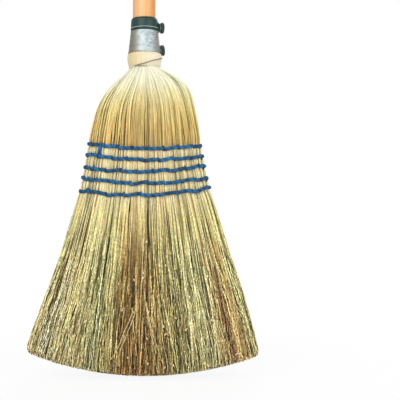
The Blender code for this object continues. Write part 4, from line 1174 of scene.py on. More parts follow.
def plies(path, length, offset):
    """Plies wound round a path: each is the path plus a circle whose angle grows by a turn for each lay."""
    along = np.gradient(path, axis=0)
    along /= np.linalg.norm(along, axis=1, keepdims=True)
    steady = np.where(np.abs(along[:, 2:]) > 0.8, np.array([[0.0, 1.0, 0.0]]), np.array([[0.0, 0.0, 1.0]]))
    side = np.cross(along, steady)
    side /= np.linalg.norm(side, axis=1, keepdims=True)
    up = np.cross(along, side)
    angle = TURN * (length[None] / TWINE_LAY + np.arange(PLIES)[:, None] / PLIES)
    return path + offset * (np.cos(angle)[..., None] * side + np.sin(angle)[..., None] * up)


# The dye varies in two slow waves along the twine, and painted shade makes it darkest where a stitch ends
# and dips into the straw
dye_and_shade = 1 + 0.35 * np.sin(twine_length / (9 * MM)) * np.sin(twine_length / (31 * MM) + 1)
dye_and_shade = dye_and_shade * (1 - 0.85 * np.abs(2 * (twine_length / STITCH_LENGTH % 1.0) - 1) ** 6)
ply_tint = linear("105E8E", "0B4268", "156898")[:, None] * dye_and_shade[None, :, None]
ply_rings = rods(plies(twine_line, twine_length, PLY_OFFSET), PLY_RADIUS, 7, (0, 0, 1))
short_length = np.linspace(0, END_LENGTH, END_POINTS)
short_paths = np.concatenate([plies(line, short_length, END_PLY_OFFSET) for line in short_lines])
short_rings = rods(short_paths, END_PLY_RADIUS, 6, (0, 1, 0))
# The ends of stitches get a darker blue, painted shade where they go into the straw
piece("stitching_twine", twine_blue, "head", "blue_twine", (ply_rings, ply_tint, "capped"),
      (short_rings, linear("0A3350"), "capped"), replaced=("stitch_twine",))

# %% [markdown]
# ## The neck: wrapped stalk ends
#
# Above the waist the stalk ends are shaved thin and lie flat against the pole, so the neck reads as one pale,
# faintly ribbed cuff. Rods would look too coarse here. The cuff is a turned surface whose radius carries fine
# ribs. Its colours go from gold on one side, partly the straw's colour and partly painted shade, to cream on
# the other, and it turns greyer just above the waist.

# %% Neck cuff
sleeve_low, sleeve_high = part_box("metal_sleeve")
neck_low, neck_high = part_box("neck_wrap")

# The cuff's outline: a waist band, a slight bulge, and a cone inside the sleeve, in millimetres
NECK_HEIGHTS_MM = np.array([366.2, 366.8, 369.0, 372.4, 375.3, 378.7, 382.4, 385.1, 385.2, 397.0])
NECK_RADII_MM = np.array([18.0, 18.6, 18.8, 19.3, 20.0, 20.4, 20.3, 19.9, 18.4, 17.1])


def neck_radius(height):
    """Radius of the cuff at a height, read from its outline."""
    return np.interp(height / MM, NECK_HEIGHTS_MM, NECK_RADII_MM) * MM


def neck_cuff():
    """A closed wall: up the ribbed outside from the waist into the sleeve, and down the plain inside."""
    sides = 480
    angle = TURN * np.arange(sides) / sides
    share = np.array([0, 0.02, 0.08, 0.2, 0.24, 0.3, 0.36, 0.42, 0.47, 0.53, 0.58, 0.62, 0.68, 0.85, 1.0])
    height = neck_low.z + (neck_high.z - neck_low.z) * share
    ribs = 0.16 * np.sin(61 * angle) + 0.12 * np.sin(97 * angle + 1) + 0.1 * np.sin(37 * angle + 2)
    fade = np.interp(share, [0, 0.05, 0.58, 0.64], [1, 1, 1, 0])
    wall = neck_radius(height)[:, None] + MM * ribs[None] * fade[:, None]
    outside = turned(wall, height, sides)[0]
    inside = turned(np.array([16.3, 16.3]) * MM, height[[-1, 0]], sides)[0]
    pale, gold, dull = linear("F7EAD0", "DAC68A", "D6D0B4")
    # The gold towards the left front is partly painted shade
    side = 0.5 + 0.5 * np.cos(angle - np.radians(214))
    mottle = 0.5 + 0.5 * np.sin(23 * angle) * np.sin(41 * angle + 1)
    mix = np.clip(side ** 5 * (0.55 + 0.4 * mottle) + 0.06 * mottle, 0, 1)[:, None]
    rings = np.concatenate([outside, inside])
    tint = np.broadcast_to(pale + mix * (gold - pale), rings.shape)
    low = 1 - eased(rings[..., 2:], neck_low.z + 2 * MM, neck_low.z + 7 * MM)
    return rings[None], (tint + 0.55 * low * (dull - tint))[None]


husk = stalk_finish("shaved_stalk_ends", 0.55, 0.9, 1.04)
cuff_rings, cuff_tint = neck_cuff()
piece("neck_cuff", husk, "head", "sorghum_straw", (cuff_rings, cuff_tint, "looped"), replaced=("neck_wrap",))

# %% [markdown]
# ## The binding wire
#
# Soft iron wire holds the neck. It comes out from under the sleeve on the right, crosses the cuff on the
# slant, and then lies in close turns at the waist, sunk so far into the straw that little more than a dark
# line of it shows. It is one rod along a path. The path's radius follows the cuff less the wire's bite, and
# its height is read from a short table.

# %% Binding wire
WIRE_RADIUS = 0.6 * MM
WIRE_TURNS = 3
# Turns made, and the wire's height there in millimetres
WIRE_HEIGHTS = np.array([
    (0, 380.6), (0.064, 378.0), (0.16, 374.7), (0.25, 370.9), (0.33, 368.8), (0.5, 368.6), (1, 368.4),
    (2, 367.5), (3, 366.6),
])
# Turns made, and how far the wire's middle is sunk there, as a share of its radius
WIRE_BITES = np.array([(0, -0.7), (0.28, -0.6), (0.4, 0.95), (3, 0.95)])


def drawn_wire_finish():
    """Annealed iron wire: a grey metal, with its oxide in patches of about 3 mm."""
    material, tree, shader = finish_of("annealed_iron_wire", Metallic=1.0, Roughness=0.42)
    place = node(tree, "ShaderNodeTexCoord")
    cloud = node(tree, "ShaderNodeTexNoise", {
        "Vector": place.outputs["Object"], "Scale": 300.0, "Detail": 3.0,
    })
    colour = node(tree, "ShaderNodeMix", {
        0: cloud.outputs[0], 6: opaque("6C6A58"), 7: opaque("ACAA98"),
    }, data_type="RGBA")
    tree.links.new(colour.outputs[2], shader.inputs["Base Color"])
    return material


turn = np.linspace(0, WIRE_TURNS, 72 * WIRE_TURNS + 1)
wire_height = np.interp(turn, *WIRE_HEIGHTS.T) * MM
# Four times a turn the wire comes up a little
wire_bite = np.interp(turn, *WIRE_BITES.T) - 0.4 * np.cos(4 * TURN * (turn - 0.28))
wire_reach = np.maximum(neck_radius(wire_height), WAIST_RADIUS) - wire_bite * WIRE_RADIUS
wire_path = np.stack([
    wire_reach * np.cos(-TURN * turn), wire_reach * np.sin(-TURN * turn), wire_height,
], axis=-1)[None]
piece("binding_wire", drawn_wire_finish(), "head", "binding_wire",
      (rods(wire_path, WIRE_RADIUS, 10, (0, 0, 1)), linear("8A867C"), "capped"), replaced=("neck_wire",))

# %% [markdown]
# ## The galvanised sleeve
#
# A thin sheet is rolled to a cone, folded together at the back and beaded at its mouth. Four shallow rings
# stiffen it. It could be a cone with a bump texture for the rings, but their highlights bend with the real
# shape, so the rings are in the profile. Zinc on steel is a bluish grey metal, here a dull one with a
# roughness of a half to two thirds. Its crystals, the spangle, differ in tone. Towards its two sides a
# warmer, darker grey is painted on as a reflection of the straw and wood around it.

# %% Sleeve finish
# A warmer, darker grey is painted on the sheet as a reflection of the straw and wood around it: none
# near this line across it, growing from the first to the second distance from it
REFLECTION_FREE_LINE = 3 * MM
PAINTED_REFLECTION_REACH = (4 * MM, 18 * MM)


def sleeve_finish():
    """Hot-dip galvanised sheet.

    Its grey is a share of the tone of its crystals, about 4 mm across, plus the level marks from rolling.
    Away from a line across it, it turns to a warmer, darker grey, which is a painted reflection of the
    straw and wood around it.
    """
    material, tree, shader = finish_of("galvanised_sheet_steel", Metallic=1.0)
    place = node(tree, "ShaderNodeTexCoord")
    crystal = node(tree, "ShaderNodeTexVoronoi", {"Vector": place.outputs["Object"], "Scale": 260.0})
    grey = node(tree, "ShaderNodeSeparateColor", {0: crystal.outputs["Color"]})
    stretch = node(tree, "ShaderNodeMapping", {
        "Vector": place.outputs["Object"], "Scale": (60.0, 60.0, 900.0),
    })
    rolled = node(tree, "ShaderNodeTexNoise", {"Vector": stretch.outputs[0], "Scale": 1.0, "Detail": 3.0})
    both = node(tree, "ShaderNodeMath", {0: grey.outputs[0], 1: 0.4, 2: rolled.outputs[0]},
                operation="MULTIPLY_ADD")
    share = node(tree, "ShaderNodeMapRange", {"Value": both.outputs[0], "From Min": 0.4, "From Max": 1.1})
    zinc_grey = node(tree, "ShaderNodeMix", {
        0: share.outputs[0], 6: opaque("A8B2B4"), 7: opaque("DEE8EC"),
    }, data_type="RGBA")
    # Painted reflection: a warmer, darker grey towards the sheet's two sides
    apart = node(tree, "ShaderNodeSeparateXYZ", {0: place.outputs["Object"]})
    moved = node(tree, "ShaderNodeMath", {0: apart.outputs["X"], 1: REFLECTION_FREE_LINE}, operation="SUBTRACT")
    aside = node(tree, "ShaderNodeMath", {0: moved.outputs[0]}, operation="ABSOLUTE")
    painted_reflection = node(tree, "ShaderNodeMapRange", {
        "Value": aside.outputs[0], "From Min": PAINTED_REFLECTION_REACH[0], "From Max": PAINTED_REFLECTION_REACH[1],
        "To Min": 0.0, "To Max": 0.78,
    }, interpolation_type="SMOOTHSTEP")
    colour = node(tree, "ShaderNodeMix", {
        0: painted_reflection.outputs[0], 6: zinc_grey.outputs[2], 7: opaque("9C967E"),
    }, data_type="RGBA")
    tree.links.new(colour.outputs[2], shader.inputs["Base Color"])
    rough = node(tree, "ShaderNodeMapRange", {
        "Value": rolled.outputs[0], "From Min": 0.3, "From Max": 0.7, "To Min": 0.5, "To Max": 0.66,
    })
    tree.links.new(rough.outputs[0], shader.inputs["Roughness"])
    bump = node(tree, "ShaderNodeBump", {"Height": rolled.outputs[0], "Strength": 0.3, "Distance": 0.1 * MM})
    tree.links.new(bump.outputs[0], shader.inputs["Normal"])
    return material


galvanised = sleeve_finish()
print("finish:", galvanised.name)

# %% Sheet of the sleeve
SHEET_WALL = 0.7 * MM
SLEEVE_TOP_RADIUS = 16.5 * MM
SLEEVE_MOUTH_RADIUS = 19.5 * MM
BEAD_RISE = 0.25 * MM
BEAD_HEIGHT = 1.6 * MM
SLEEVE_RINGS = 4
RING_DEPTH = 0.16 * MM
SEAM_RISE = 0.7 * MM
SEAM_HALF_ANGLE = np.radians(9)
# How far the cut edges of the sheet are rounded out
EDGE_ROUNDING = 0.1 * MM


def sheet_sleeve():
    """Rings of a closed wall, up the outside and down the inside.

    The outside is the cone's radius plus the bead's half round and the seam, less the rings' hollows.
    """
    sides = 192
    top = sleeve_high.z - sleeve_low.z
    rise = np.concatenate([np.linspace(0, BEAD_HEIGHT, 9), np.linspace(BEAD_HEIGHT, top, 65)[1:]])
    cone = np.interp(rise, [0, top], [SLEEVE_MOUTH_RADIUS, SLEEVE_TOP_RADIUS])
    bead = BEAD_RISE * np.sqrt(np.clip(1 - (2 * rise / BEAD_HEIGHT - 1) ** 2, 0, 1))
    ring = (rise - 2 * BEAD_HEIGHT) / (top - 2 * BEAD_HEIGHT) * SLEEVE_RINGS
    hollow = np.where(ring > 0, RING_DEPTH * (0.5 - 0.5 * np.cos(TURN * ring)) ** 2, 0)
    angle = TURN * np.arange(sides) / sides
    seam = SEAM_RISE * (1 - eased(np.abs(angle - np.pi / 2), SEAM_HALF_ANGLE * 0.8, SEAM_HALF_ANGLE))
    wall = (cone + bead - hollow)[:, None] + seam[None]
    outside = turned(wall, sleeve_low.z + rise, sides)[0]
    lip = np.array([top + EDGE_ROUNDING, top, 0.0, -EDGE_ROUNDING])
    inner_radius = np.interp(lip, [0, top], [SLEEVE_MOUTH_RADIUS, SLEEVE_TOP_RADIUS]) - SHEET_WALL
    inner_radius[[0, -1]] += SHEET_WALL / 2
    inside = turned(inner_radius, sleeve_low.z + lip, sides)[0]
    return np.concatenate([outside, inside])[None]


piece("metal_sleeve_sheet", galvanised, "head", "galvanised_sheet",
      (sheet_sleeve(), linear("B0BCC2"), "looped"), replaced=("metal_sleeve",))

# %% [markdown]
# ## The collar
#
# The collar is injection moulded in dark green plastic. It caps the sleeve, and a boss on its side carries
# the upper screw. Moulded parts have rounded edges everywhere, because plastic doesn't fill a sharp corner,
# and their skin is very finely pebbled. The ring is a turned profile with small arcs at its edges, and the
# boss is a rod along the screw's axis that runs into the ring.

# %% Arcs, axes and moulded plastic
def arc(centre_r, centre_h, size, first, last, steps=5):
    """Points of an arc in a profile, as radius and height: its centre plus its size times cosine and sine."""
    angle = np.radians(np.linspace(first, last, steps))
    return np.stack([centre_r + size * np.cos(angle), centre_h + size * np.sin(angle)], axis=-1)


def moulded_finish(name, dark, light):
    """Polypropylene, moulded against a finely spark-eroded tool: a satin skin with 0.4 mm pebbling.

    Its colour comes in clouds of about 8 mm, times the stored tint, which is above 1 where a highlight is
    painted and below 1 where shade is painted.
    """
    material, tree, shader = finish_of(name, Roughness=0.38, IOR=1.49)
    place = node(tree, "ShaderNodeTexCoord")
    cloud = node(tree, "ShaderNodeTexNoise", {
        "Vector": place.outputs["Object"], "Scale": 120.0, "Detail": 4.0,
    })
    mixed = node(tree, "ShaderNodeMix", {
        0: cloud.outputs[0], 6: opaque(dark), 7: opaque(light),
    }, data_type="RGBA")
    painted_light = node(tree, "ShaderNodeAttribute", attribute_name="tint")
    colour = node(tree, "ShaderNodeVectorMath", {0: mixed.outputs[2], 1: painted_light.outputs["Color"]},
                  operation="MULTIPLY")
    tree.links.new(colour.outputs[0], shader.inputs["Base Color"])
    pebble = node(tree, "ShaderNodeTexNoise", {
        "Vector": place.outputs["Object"], "Scale": 2500.0, "Detail": 1.0,
    })
    bump = node(tree, "ShaderNodeBump", {
        "Height": pebble.outputs[0], "Strength": 0.25, "Distance": 0.04 * MM,
    })
    tree.links.new(bump.outputs[0], shader.inputs["Normal"])
    return material


def on_axis(rings, pos, direction):
    """Turns rings made round +Z so that +Z lies along a direction, and moves them to a place."""
    out = np.asarray(direction, float) / np.linalg.norm(direction)
    side = np.cross((0.0, 0.0, 1.0), out)
    side /= np.linalg.norm(side)
    return rings @ np.stack([side, np.cross(out, side), out]) + np.asarray(pos, float)


joints = {joint["name"]: joint for joint in frame["joints"]}
green_plastic = moulded_finish("moulded_green_polypropylene", "12302B", "1D453D")
print("finish:", green_plastic.name, "and", len(joints), "joints in the frame")

# %% Collar and its boss
collar_low, collar_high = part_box("collar_ring")
COLLAR_BORE = POLE_RADIUS + POLE_PLAY
COLLAR_WALL = 1.8 * MM
SPIGOT_WALL = 1.2 * MM
SPIGOT_LENGTH = 8 * MM
# How far the lip's middle is above the ring's lower edge, and the radius of its round
LIP_RISE = 3.3 * MM
LIP_SIZE = 0.4 * MM
# How much the lip's painted highlight adds to red, green and blue, and the painted shade below
# it takes off, in shares of the plastic's colour
PAINTED_LIP_HIGHLIGHT = np.array([38.0, 11.0, 13.0])
PAINTED_RECESS_SHADE = 0.45
BUSH_HOLE = 3.8 * MM
BOSS_DEPTH = 3.4 * MM

wall_r = COLLAR_BORE + COLLAR_WALL
low, high = collar_low.z + SPIGOT_LENGTH, collar_high.z
lip_height = low + LIP_RISE
collar_profile = np.concatenate([
    [(COLLAR_BORE + SPIGOT_WALL, low - SPIGOT_LENGTH), (COLLAR_BORE + SPIGOT_WALL, low)],
    arc(wall_r - 0.1 * MM, low + 0.3 * MM, 0.3 * MM, -90, 0),
    arc(wall_r + LIP_SIZE, lip_height, LIP_SIZE, -100, 100, 9),
    arc(wall_r - 0.5 * MM, high - 2.4 * MM, 0.5 * MM, 0, 50),
    arc(COLLAR_BORE + 0.6 * MM, high - 0.45 * MM, 0.45 * MM, 50, 170),
    [(COLLAR_BORE, high - 1.2 * MM), (COLLAR_BORE, low - SPIGOT_LENGTH)],
])
collar_rings = turned(collar_profile[:, 0], collar_profile[:, 1], 128)
# A highlight is painted on the lip as a pale grey, and shade is painted on the strip below it
painted_highlight = PAINTED_LIP_HIGHLIGHT * (collar_profile[:, :1] > wall_r + 0.6 * MM)
painted_shade = PAINTED_RECESS_SHADE * (collar_profile[:, 1:] < lip_height - LIP_SIZE)
collar_painted_light = (1 + painted_highlight - painted_shade)[None]
upper = joints["upper_screw_turn"]
boss_profile = np.concatenate([
    [(8.0 * MM, -BOSS_DEPTH), (6.8 * MM, -1.8 * MM), (5.7 * MM, -0.9 * MM)],
    arc(4.9 * MM, -0.4 * MM, 0.4 * MM, 0, 90),
    [(BUSH_HOLE, 0.0), (BUSH_HOLE, -BOSS_DEPTH)],
])
boss_rings = on_axis(turned(boss_profile[:, 0], boss_profile[:, 1], 48), upper["pos_m"], upper["axis"])
piece("green_collar", green_plastic, "head", "dark_green_plastic",
      (collar_rings, collar_painted_light, "looped"), (boss_rings, np.ones(3), "looped"), replaced=("collar_ring",))

# %% [markdown]
# ## Knobs and washers
#
# Two small knobs clamp the head to the pole. Each is a fluted disc, moulded on a steel screw, and each turns
# on its own body, so it has to be round about its own axis. Its rings are circles whose radius dips ten
# times on the way round, and the profile has rounded edges. Zinc-plated washers take the rub.

# %% Fluted knob
KNOB_RADIUS = 6.5 * MM
FLUTES = 10
FLUTE_DEPTH = 0.45 * MM
KNOB_FOOT = 1.2 * MM
KNOB_HEIGHT = 3.7 * MM
SCREW_HOLE = 2.3 * MM


def fluted_knob():
    """Rings of a knob round +Z: the profile's radius, less a raised cosine of ten times the angle."""
    low, top = KNOB_FOOT, KNOB_FOOT + KNOB_HEIGHT
    profile = np.concatenate([
        [(SCREW_HOLE, low)], arc(KNOB_RADIUS - 0.4 * MM, low + 0.4 * MM, 0.4 * MM, -90, 0),
        arc(KNOB_RADIUS - 0.6 * MM, top - 0.6 * MM, 0.6 * MM, 0, 90, 6),
        [(4.6 * MM, top - 0.02 * MM), (4.3 * MM, top - 0.2 * MM), (0.6 * MM, top - 0.25 * MM)],
    ])
    sides = 120
    rings = turned(profile[:, 0], profile[:, 1], sides)
    angle = TURN * np.arange(sides) / sides
    dip = FLUTE_DEPTH * (0.5 - 0.5 * np.cos(FLUTES * angle)) ** 0.8
    near_rim = eased(profile[:, 0], KNOB_RADIUS - 1.4 * MM, KNOB_RADIUS - 0.5 * MM)
    shrink = 1 - near_rim[:, None] * dip[None] / profile[:, 0][:, None]
    return rings * np.stack([shrink, shrink, np.ones_like(shrink)], axis=-1)[None]


knob_rings = fluted_knob()
print("knob of", knob_rings.shape[1], "rings and", knob_rings.shape[2], "sides")

# %% Washers, and both clamps' pieces
WASHER_RADIUS = 4.3 * MM
WASHER_ROUNDING = 0.2 * MM
# The washer's lower and upper faces, from its seat
WASHER_FACES = (0.3 * MM, 0.9 * MM)


def zinc_finish():
    """Bright zinc plate: pale metal, a little yellow from its passivation, in clouds of about 1.4 mm."""
    material, tree, shader = finish_of("zinc_plated_steel_washer", Metallic=1.0, Roughness=0.28)
    place = node(tree, "ShaderNodeTexCoord")
    cloud = node(tree, "ShaderNodeTexNoise", {
        "Vector": place.outputs["Object"], "Scale": 700.0, "Detail": 3.0,
    })
    colour = node(tree, "ShaderNodeMix", {
        0: cloud.outputs[0], 6: opaque("C9CAC2"), 7: opaque("E6E6DE"),
    }, data_type="RGBA")
    tree.links.new(colour.outputs[2], shader.inputs["Base Color"])
    return material


zinc = zinc_finish()
rim, under, over = WASHER_RADIUS - WASHER_ROUNDING, *WASHER_FACES
washer_profile = np.concatenate([
    [(SCREW_HOLE, under)], arc(rim, under + WASHER_ROUNDING, WASHER_ROUNDING, -90, 0, 4),
    arc(rim, over - WASHER_ROUNDING, WASHER_ROUNDING, 0, 90, 4), [(SCREW_HOLE, over)],
])
washer_rings = turned(washer_profile[:, 0], washer_profile[:, 1], 64)
for side in ("upper", "lower"):
    joint = joints[f"{side}_screw_turn"]
    place = (joint["pos_m"], joint["axis"])
    piece(f"{side}_fluted_knob", green_plastic, f"{side}_clamp_screw", "dark_green_plastic",
          (on_axis(knob_rings, *place), np.ones(3), "capped"), replaced=(f"{side}_knob",))
    piece(f"{side}_flat_washer", zinc, f"{side}_clamp_washer", "zinc_plated_steel",
          (on_axis(washer_rings, *place), linear("C8C8C0"), "looped"), replaced=(f"{side}_washer",))

# %% [markdown]
# The screws and the threaded bushes are hidden in the clamps and keep their own solids. They only need metal.

# %% Hidden metal pieces
def worn_metal(name, dark, light, roughness):
    """A turned metal part. Its colour changes along X, near its axis, in lathe marks 0.3 mm apart."""
    material, tree, shader = finish_of(name, Metallic=1.0, Roughness=roughness)
    place = node(tree, "ShaderNodeTexCoord")
    stretch = node(tree, "ShaderNodeMapping", {
        "Vector": place.outputs["Object"], "Scale": (3200.0, 400.0, 400.0),
    })
    marks = node(tree, "ShaderNodeTexNoise", {"Vector": stretch.outputs[0], "Scale": 1.0, "Detail": 2.0})
    colour = node(tree, "ShaderNodeMix", {
        0: marks.outputs[0], 6: opaque(dark), 7: opaque(light),
    }, data_type="RGBA")
    tree.links.new(colour.outputs[2], shader.inputs["Base Color"])
    return material


brass = worn_metal("turned_brass", "A3803F", "CFAE68", 0.3)
screw_steel = worn_metal("zinc_plated_screw", "B0B0AA", "D2D2CC", 0.3)
for name, metal in (("threaded_bush", brass), ("screw", screw_steel)):
    for side in ("upper", "lower"):
        solid = frame["nodes"][f"{side}_{name}"]
        solid.data.materials.clear()
        solid.data.materials.append(metal)
        print(solid.name, "is", metal.name)

# %% [markdown]
# ## The varnished pole
#
# The pole is pine, turned round from a square stick and varnished. The growth rings of a tree are nearly flat
# layers on the scale of a pole, so they show as long stripes on its sides. Painted stripes would never close
# round the pole, so the wood is made as it grows: in shells round a pith 45 mm from the pole's axis, bent by
# slow noise. Broad resinous bands lie 22 mm apart in it, and faint rings 3.1 mm apart. Knots are dark spots,
# taller than wide, each in a paler halo.

# %% Grain of pine
PITH = (0.040, 0.021, 0.0)
RING_SPACING = 3.1 * MM
# How far slow noise moves the rings, at most
RING_BEND = 9 * MM
# Bands in which the wood is more resinous, and how far from the pith one of them ends
BAND_SPACING = 22 * MM
BAND_END = 62 * MM


def pine_grain(tree, place):
    """How dense the wood is: 0.8 times the resinous bands, plus 0.2 times the growth rings.

    Both repeat with the distance to the pith, to which slow noise is added.
    """
    slow = node(tree, "ShaderNodeMapping", {"Vector": place, "Scale": (26.0, 26.0, 1.6)})
    bend = node(tree, "ShaderNodeTexNoise", {"Vector": slow.outputs[0], "Scale": 1.0, "Detail": 2.0})
    offset = node(tree, "ShaderNodeVectorMath", {0: place, 1: PITH}, operation="SUBTRACT")
    flat = node(tree, "ShaderNodeVectorMath", {0: offset.outputs[0], 1: (1.0, 1.0, 0.0)},
                operation="MULTIPLY")
    distance = node(tree, "ShaderNodeVectorMath", {0: flat.outputs[0]}, operation="LENGTH")
    waved = node(tree, "ShaderNodeMath", {0: bend.outputs[0], 1: RING_BEND, 2: distance.outputs["Value"]},
                 operation="MULTIPLY_ADD")
    count = node(tree, "ShaderNodeMath", {0: waved.outputs[0], 1: 1 / RING_SPACING}, operation="MULTIPLY")
    shell = node(tree, "ShaderNodeMath", {0: count.outputs[0]}, operation="FRACT")
    late = node(tree, "ShaderNodeMapRange", {"Value": shell.outputs[0], "From Min": 0.1, "From Max": 0.85},
                interpolation_type="SMOOTHERSTEP")
    inward = node(tree, "ShaderNodeMath", {
        0: waved.outputs[0], 1: -1 / BAND_SPACING, 2: BAND_END / BAND_SPACING,
    }, operation="MULTIPLY_ADD")
    band = node(tree, "ShaderNodeMath", {0: inward.outputs[0]}, operation="FRACT")
    rise = node(tree, "ShaderNodeMapRange", {"Value": band.outputs[0], "From Min": 0.15, "From Max": 0.7},
                interpolation_type="SMOOTHSTEP")
    fall = node(tree, "ShaderNodeMapRange", {"Value": band.outputs[0], "From Min": 0.8, "From Max": 1.0,
                                             "To Min": 1.0, "To Max": 0.0}, interpolation_type="SMOOTHSTEP")
    resin = node(tree, "ShaderNodeMath", {0: rise.outputs[0], 1: fall.outputs[0]}, operation="MULTIPLY")
    faint = node(tree, "ShaderNodeMath", {0: late.outputs[0], 1: 0.2}, operation="MULTIPLY")
    grain = node(tree, "ShaderNodeMath", {0: resin.outputs[0], 1: 0.8, 2: faint.outputs[0]},
                 operation="MULTIPLY_ADD")
    return grain.outputs[0]


print(f"rings every {RING_SPACING / MM:.1f} mm, bands every {BAND_SPACING / MM:.0f} mm")

# %% Knots and varnish
# Knots: the way they face in degrees, their height in metres, and their radius in millimetres
KNOTS = (
    (62, 1.445, 4.0), (118, 1.240, 4.6), (70, 1.262, 3.2),
    (75, 0.482, 3.6), (265, 0.93, 3.4), (310, 0.70, 2.6),
)
# Heights are squeezed by this share before the distance to a knot is taken, which makes it tall
KNOT_SQUEEZE = 0.62


def knotted(tree, place, colour):
    """The wood's colour with its knots: each is a halo that fades outwards, and a darker heart in it."""
    for facing, knot_height, size in KNOTS:
        turn = np.radians(facing)
        centre = (POLE_RADIUS * np.cos(turn), POLE_RADIUS * np.sin(turn), knot_height)
        away = node(tree, "ShaderNodeVectorMath", {0: place, 1: centre}, operation="SUBTRACT")
        squeezed = node(tree, "ShaderNodeVectorMath", {0: away.outputs[0], 1: (1.0, 1.0, KNOT_SQUEEZE)},
                        operation="MULTIPLY")
        reach = node(tree, "ShaderNodeVectorMath", {0: squeezed.outputs[0]}, operation="LENGTH")
        halo = node(tree, "ShaderNodeMapRange", {
            "Value": reach.outputs["Value"], "From Min": 2.4 * size * MM, "From Max": 0.8 * size * MM,
            "To Min": 0.0, "To Max": 0.6,
        })
        heart = node(tree, "ShaderNodeMapRange", {
            "Value": reach.outputs["Value"], "From Min": size * MM, "From Max": 0.55 * size * MM,
            "To Min": 0.0, "To Max": 0.9,
        })
        colour = node(tree, "ShaderNodeMix", {0: halo.outputs[0], 6: colour, 7: opaque("CF8A4B")},
                      data_type="RGBA").outputs[2]
        colour = node(tree, "ShaderNodeMix", {0: heart.outputs[0], 6: colour, 7: opaque("6E4223")},
                      data_type="RGBA").outputs[2]
    return colour


def pine_finish():
    """Varnished pine: pale and dense wood mixed by the grain, times fibres 0.5 mm apart, under a clear coat.

    Both kinds of wood are redder low on the pole and paler at its top, which is painted light: the top is
    painted as more brightly lit than the foot.
    """
    material, tree, shader = finish_of("varnished_pine", Roughness=0.42, IOR=1.5, Coat_Weight=0.55,
                                       Coat_Roughness=0.16, Coat_IOR=1.5)
    place = node(tree, "ShaderNodeTexCoord").outputs["Object"]
    apart = node(tree, "ShaderNodeSeparateXYZ", {0: place})
    # Painted light: the wood is mixed to paler colours towards the pole's top
    height = node(tree, "ShaderNodeMapRange", {
        "Value": apart.outputs["Z"], "From Min": 0.5, "From Max": 1.35,
    })
    early = node(tree, "ShaderNodeMix", {0: height.outputs[0], 6: opaque("F3BC80"), 7: opaque("F3D6A8")},
                 data_type="RGBA")
    dense = node(tree, "ShaderNodeMix", {0: height.outputs[0], 6: opaque("E9984C"), 7: opaque("E4B882")},
                 data_type="RGBA")
    wood = node(tree, "ShaderNodeMix", {0: pine_grain(tree, place), 6: early.outputs[2], 7: dense.outputs[2]},
                data_type="RGBA")
    thin = node(tree, "ShaderNodeMapping", {"Vector": place, "Scale": (1900.0, 1900.0, 24.0)})
    fibre = node(tree, "ShaderNodeTexNoise", {"Vector": thin.outputs[0], "Scale": 1.0, "Detail": 3.0})
    streak = node(tree, "ShaderNodeMapRange", {"Value": fibre.outputs[0], "From Min": 0.3, "From Max": 0.7,
                                               "To Min": 0.95, "To Max": 1.03})
    streaked = node(tree, "ShaderNodeVectorMath", {0: wood.outputs[2], 1: streak.outputs[0]},
                    operation="MULTIPLY")
    colour = knotted(tree, place, streaked.outputs[0])
    tree.links.new(colour, shader.inputs["Base Color"])
    bump = node(tree, "ShaderNodeBump", {"Height": fibre.outputs[0], "Strength": 0.12, "Distance": 0.06 * MM})
    tree.links.new(bump.outputs[0], shader.inputs["Normal"])
    return material


pine = pine_finish()
print("finish:", pine.name)

# %% Pole
TOP_ROUNDING = 9 * MM
TIP_ROUNDING = 1.6 * MM

plain_heights = np.linspace(pole_low.z + 60 * MM, pole_high.z - 12 * MM, 24)
pole_profile = np.concatenate([
    [(POLE_TIP_RADIUS - 2 * MM, pole_low.z)],
    arc(POLE_TIP_RADIUS - TIP_ROUNDING, pole_low.z + TIP_ROUNDING, TIP_ROUNDING, -70, 0),
    [(POLE_RADIUS, pole_low.z + TAPER_LENGTH)],
    np.stack([np.full_like(plain_heights, POLE_RADIUS), plain_heights], axis=-1),
    arc(POLE_RADIUS - TOP_ROUNDING, pole_high.z - TOP_ROUNDING, TOP_ROUNDING, 0, 90, 14),
])
pole_rings = turned(pole_profile[:, 0], pole_profile[:, 1], 128)
piece("varnished_pole", pine, "handle", "varnished_softwood",
      (pole_rings, linear("F2B37C"), "capped"), replaced=("handle",))

# %% [markdown]
# ## Floor and light
#
# The broom stands on white, lit from all round. For the camera alone the world is full white, so no lamp has
# to be so strong that it bleaches the straw. The floor is white paper, which the camera sees mostly through,
# onto that white: near the broom a tenth of the paper stays and takes a soft shadow, and further out none.
# An opaque floor would hide the head's tips when the head is drawn down off the pole, and the whole broom
# from below, so from its underside the floor is clear for every ray. A large lamp stands high on the left in
# front, a weaker one on the right and a third behind, at a level at which a colour renders about as written.

# %% Floor
FLOOR_DEPTH = 0.5 * MM
FLOOR_REACH = 6.0
PAPER = 0.92
# How clear the paper is to the camera near the middle, and where that starts to grow and is full, in metres
NEAR_CLEARNESS = 0.91
CLEAR_FROM, CLEAR_TO = 0.15, 0.5

floor_mesh = bpy.data.meshes.new("floor")
corners = [(x * FLOOR_REACH, y * FLOOR_REACH, -FLOOR_DEPTH) for x, y in ((-1, -1), (1, -1), (1, 1), (-1, 1))]
floor_mesh.from_pydata(corners, [], [(0, 1, 2, 3)])
floor = bpy.data.objects.new("floor", floor_mesh)
scene.collection.objects.link(floor)
floor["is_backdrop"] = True

floor_material = bpy.data.materials.new("white_floor")
floor_material.use_nodes = True
tree = floor_material.node_tree
tree.nodes.clear()
paper = node(tree, "ShaderNodeBsdfDiffuse", {"Color": (PAPER, PAPER, PAPER, 1.0)})
clear = node(tree, "ShaderNodeBsdfTransparent")
place = node(tree, "ShaderNodeTexCoord")
away = node(tree, "ShaderNodeVectorMath", {0: place.outputs["Object"]}, operation="LENGTH")
thin = node(tree, "ShaderNodeMapRange", {
    "Value": away.outputs["Value"], "From Min": CLEAR_FROM, "From Max": CLEAR_TO,
    "To Min": NEAR_CLEARNESS, "To Max": 1.0,
}, interpolation_type="SMOOTHSTEP")
seen = node(tree, "ShaderNodeLightPath")
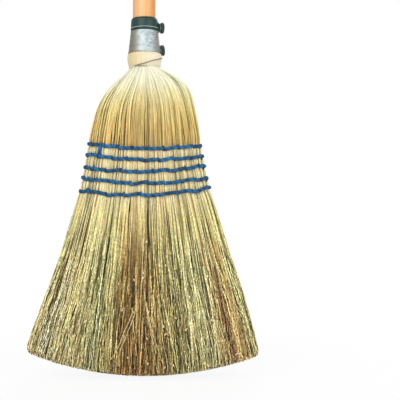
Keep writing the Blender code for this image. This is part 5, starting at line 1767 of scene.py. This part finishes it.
above = node(tree, "ShaderNodeMath", {0: seen.outputs["Is Camera Ray"], 1: thin.outputs[0]},
             operation="MULTIPLY")
side = node(tree, "ShaderNodeNewGeometry")
share = node(tree, "ShaderNodeMath", {0: above.outputs[0], 1: side.outputs["Backfacing"]},
             operation="MAXIMUM")
mixed = node(tree, "ShaderNodeMixShader", {0: share.outputs[0], 1: paper.outputs[0], 2: clear.outputs[0]})
node(tree, "ShaderNodeOutputMaterial", {"Surface": mixed.outputs[0]})
floor_mesh.materials.append(floor_material)
print(f"{floor.name} of {2 * FLOOR_REACH:.0f} m, {FLOOR_DEPTH / MM:.1f} mm below the tips")

# %% World and lamps
AMBIENT = 0.5
# Name, place, what it looks at, size in metres and power in watts
LAMPS = (
    ("front_left_lamp", (-0.9, -1.7, 1.5), (0, 0, 0.25), 2.0, 27.0),
    ("front_right_lamp", (1.5, -1.5, 0.9), (0, 0, 0.25), 1.8, 13.0),
    ("back_lamp", (0.6, 1.9, 1.6), (0, 0, 0.4), 1.6, 22.0),
)

world = bpy.data.worlds.new("white_studio")
scene.world = world
world.use_nodes = True
tree = world.node_tree
seen = node(tree, "ShaderNodeLightPath")
strength = node(tree, "ShaderNodeMapRange", {
    "Value": seen.outputs["Is Camera Ray"], "To Min": AMBIENT, "To Max": 1.0,
})
background = tree.nodes["Background"]
background.inputs["Color"].default_value = (1.0, 1.0, 1.0, 1.0)
tree.links.new(strength.outputs[0], background.inputs["Strength"])

for name, place, target, size, watts in LAMPS:
    data = bpy.data.lights.new(name, "AREA")
    data.size = size
    data.energy = watts
    lamp = bpy.data.objects.new(name, data)
    lamp.location = place
    lamp.rotation_euler = (Vector(target) - Vector(place)).to_track_quat("-Z", "Y").to_euler()
    scene.collection.objects.link(lamp)
print(f"{len(LAMPS)} lamps, world at {AMBIENT} for the object")

# %% [markdown]
# ## The object's size
#
# The dressed broom has to stay as large as its engineering model. Its box is printed.

# %% Size and end
low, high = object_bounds()
print("visual box", [round(v, 4) for v in (*low, *high)])
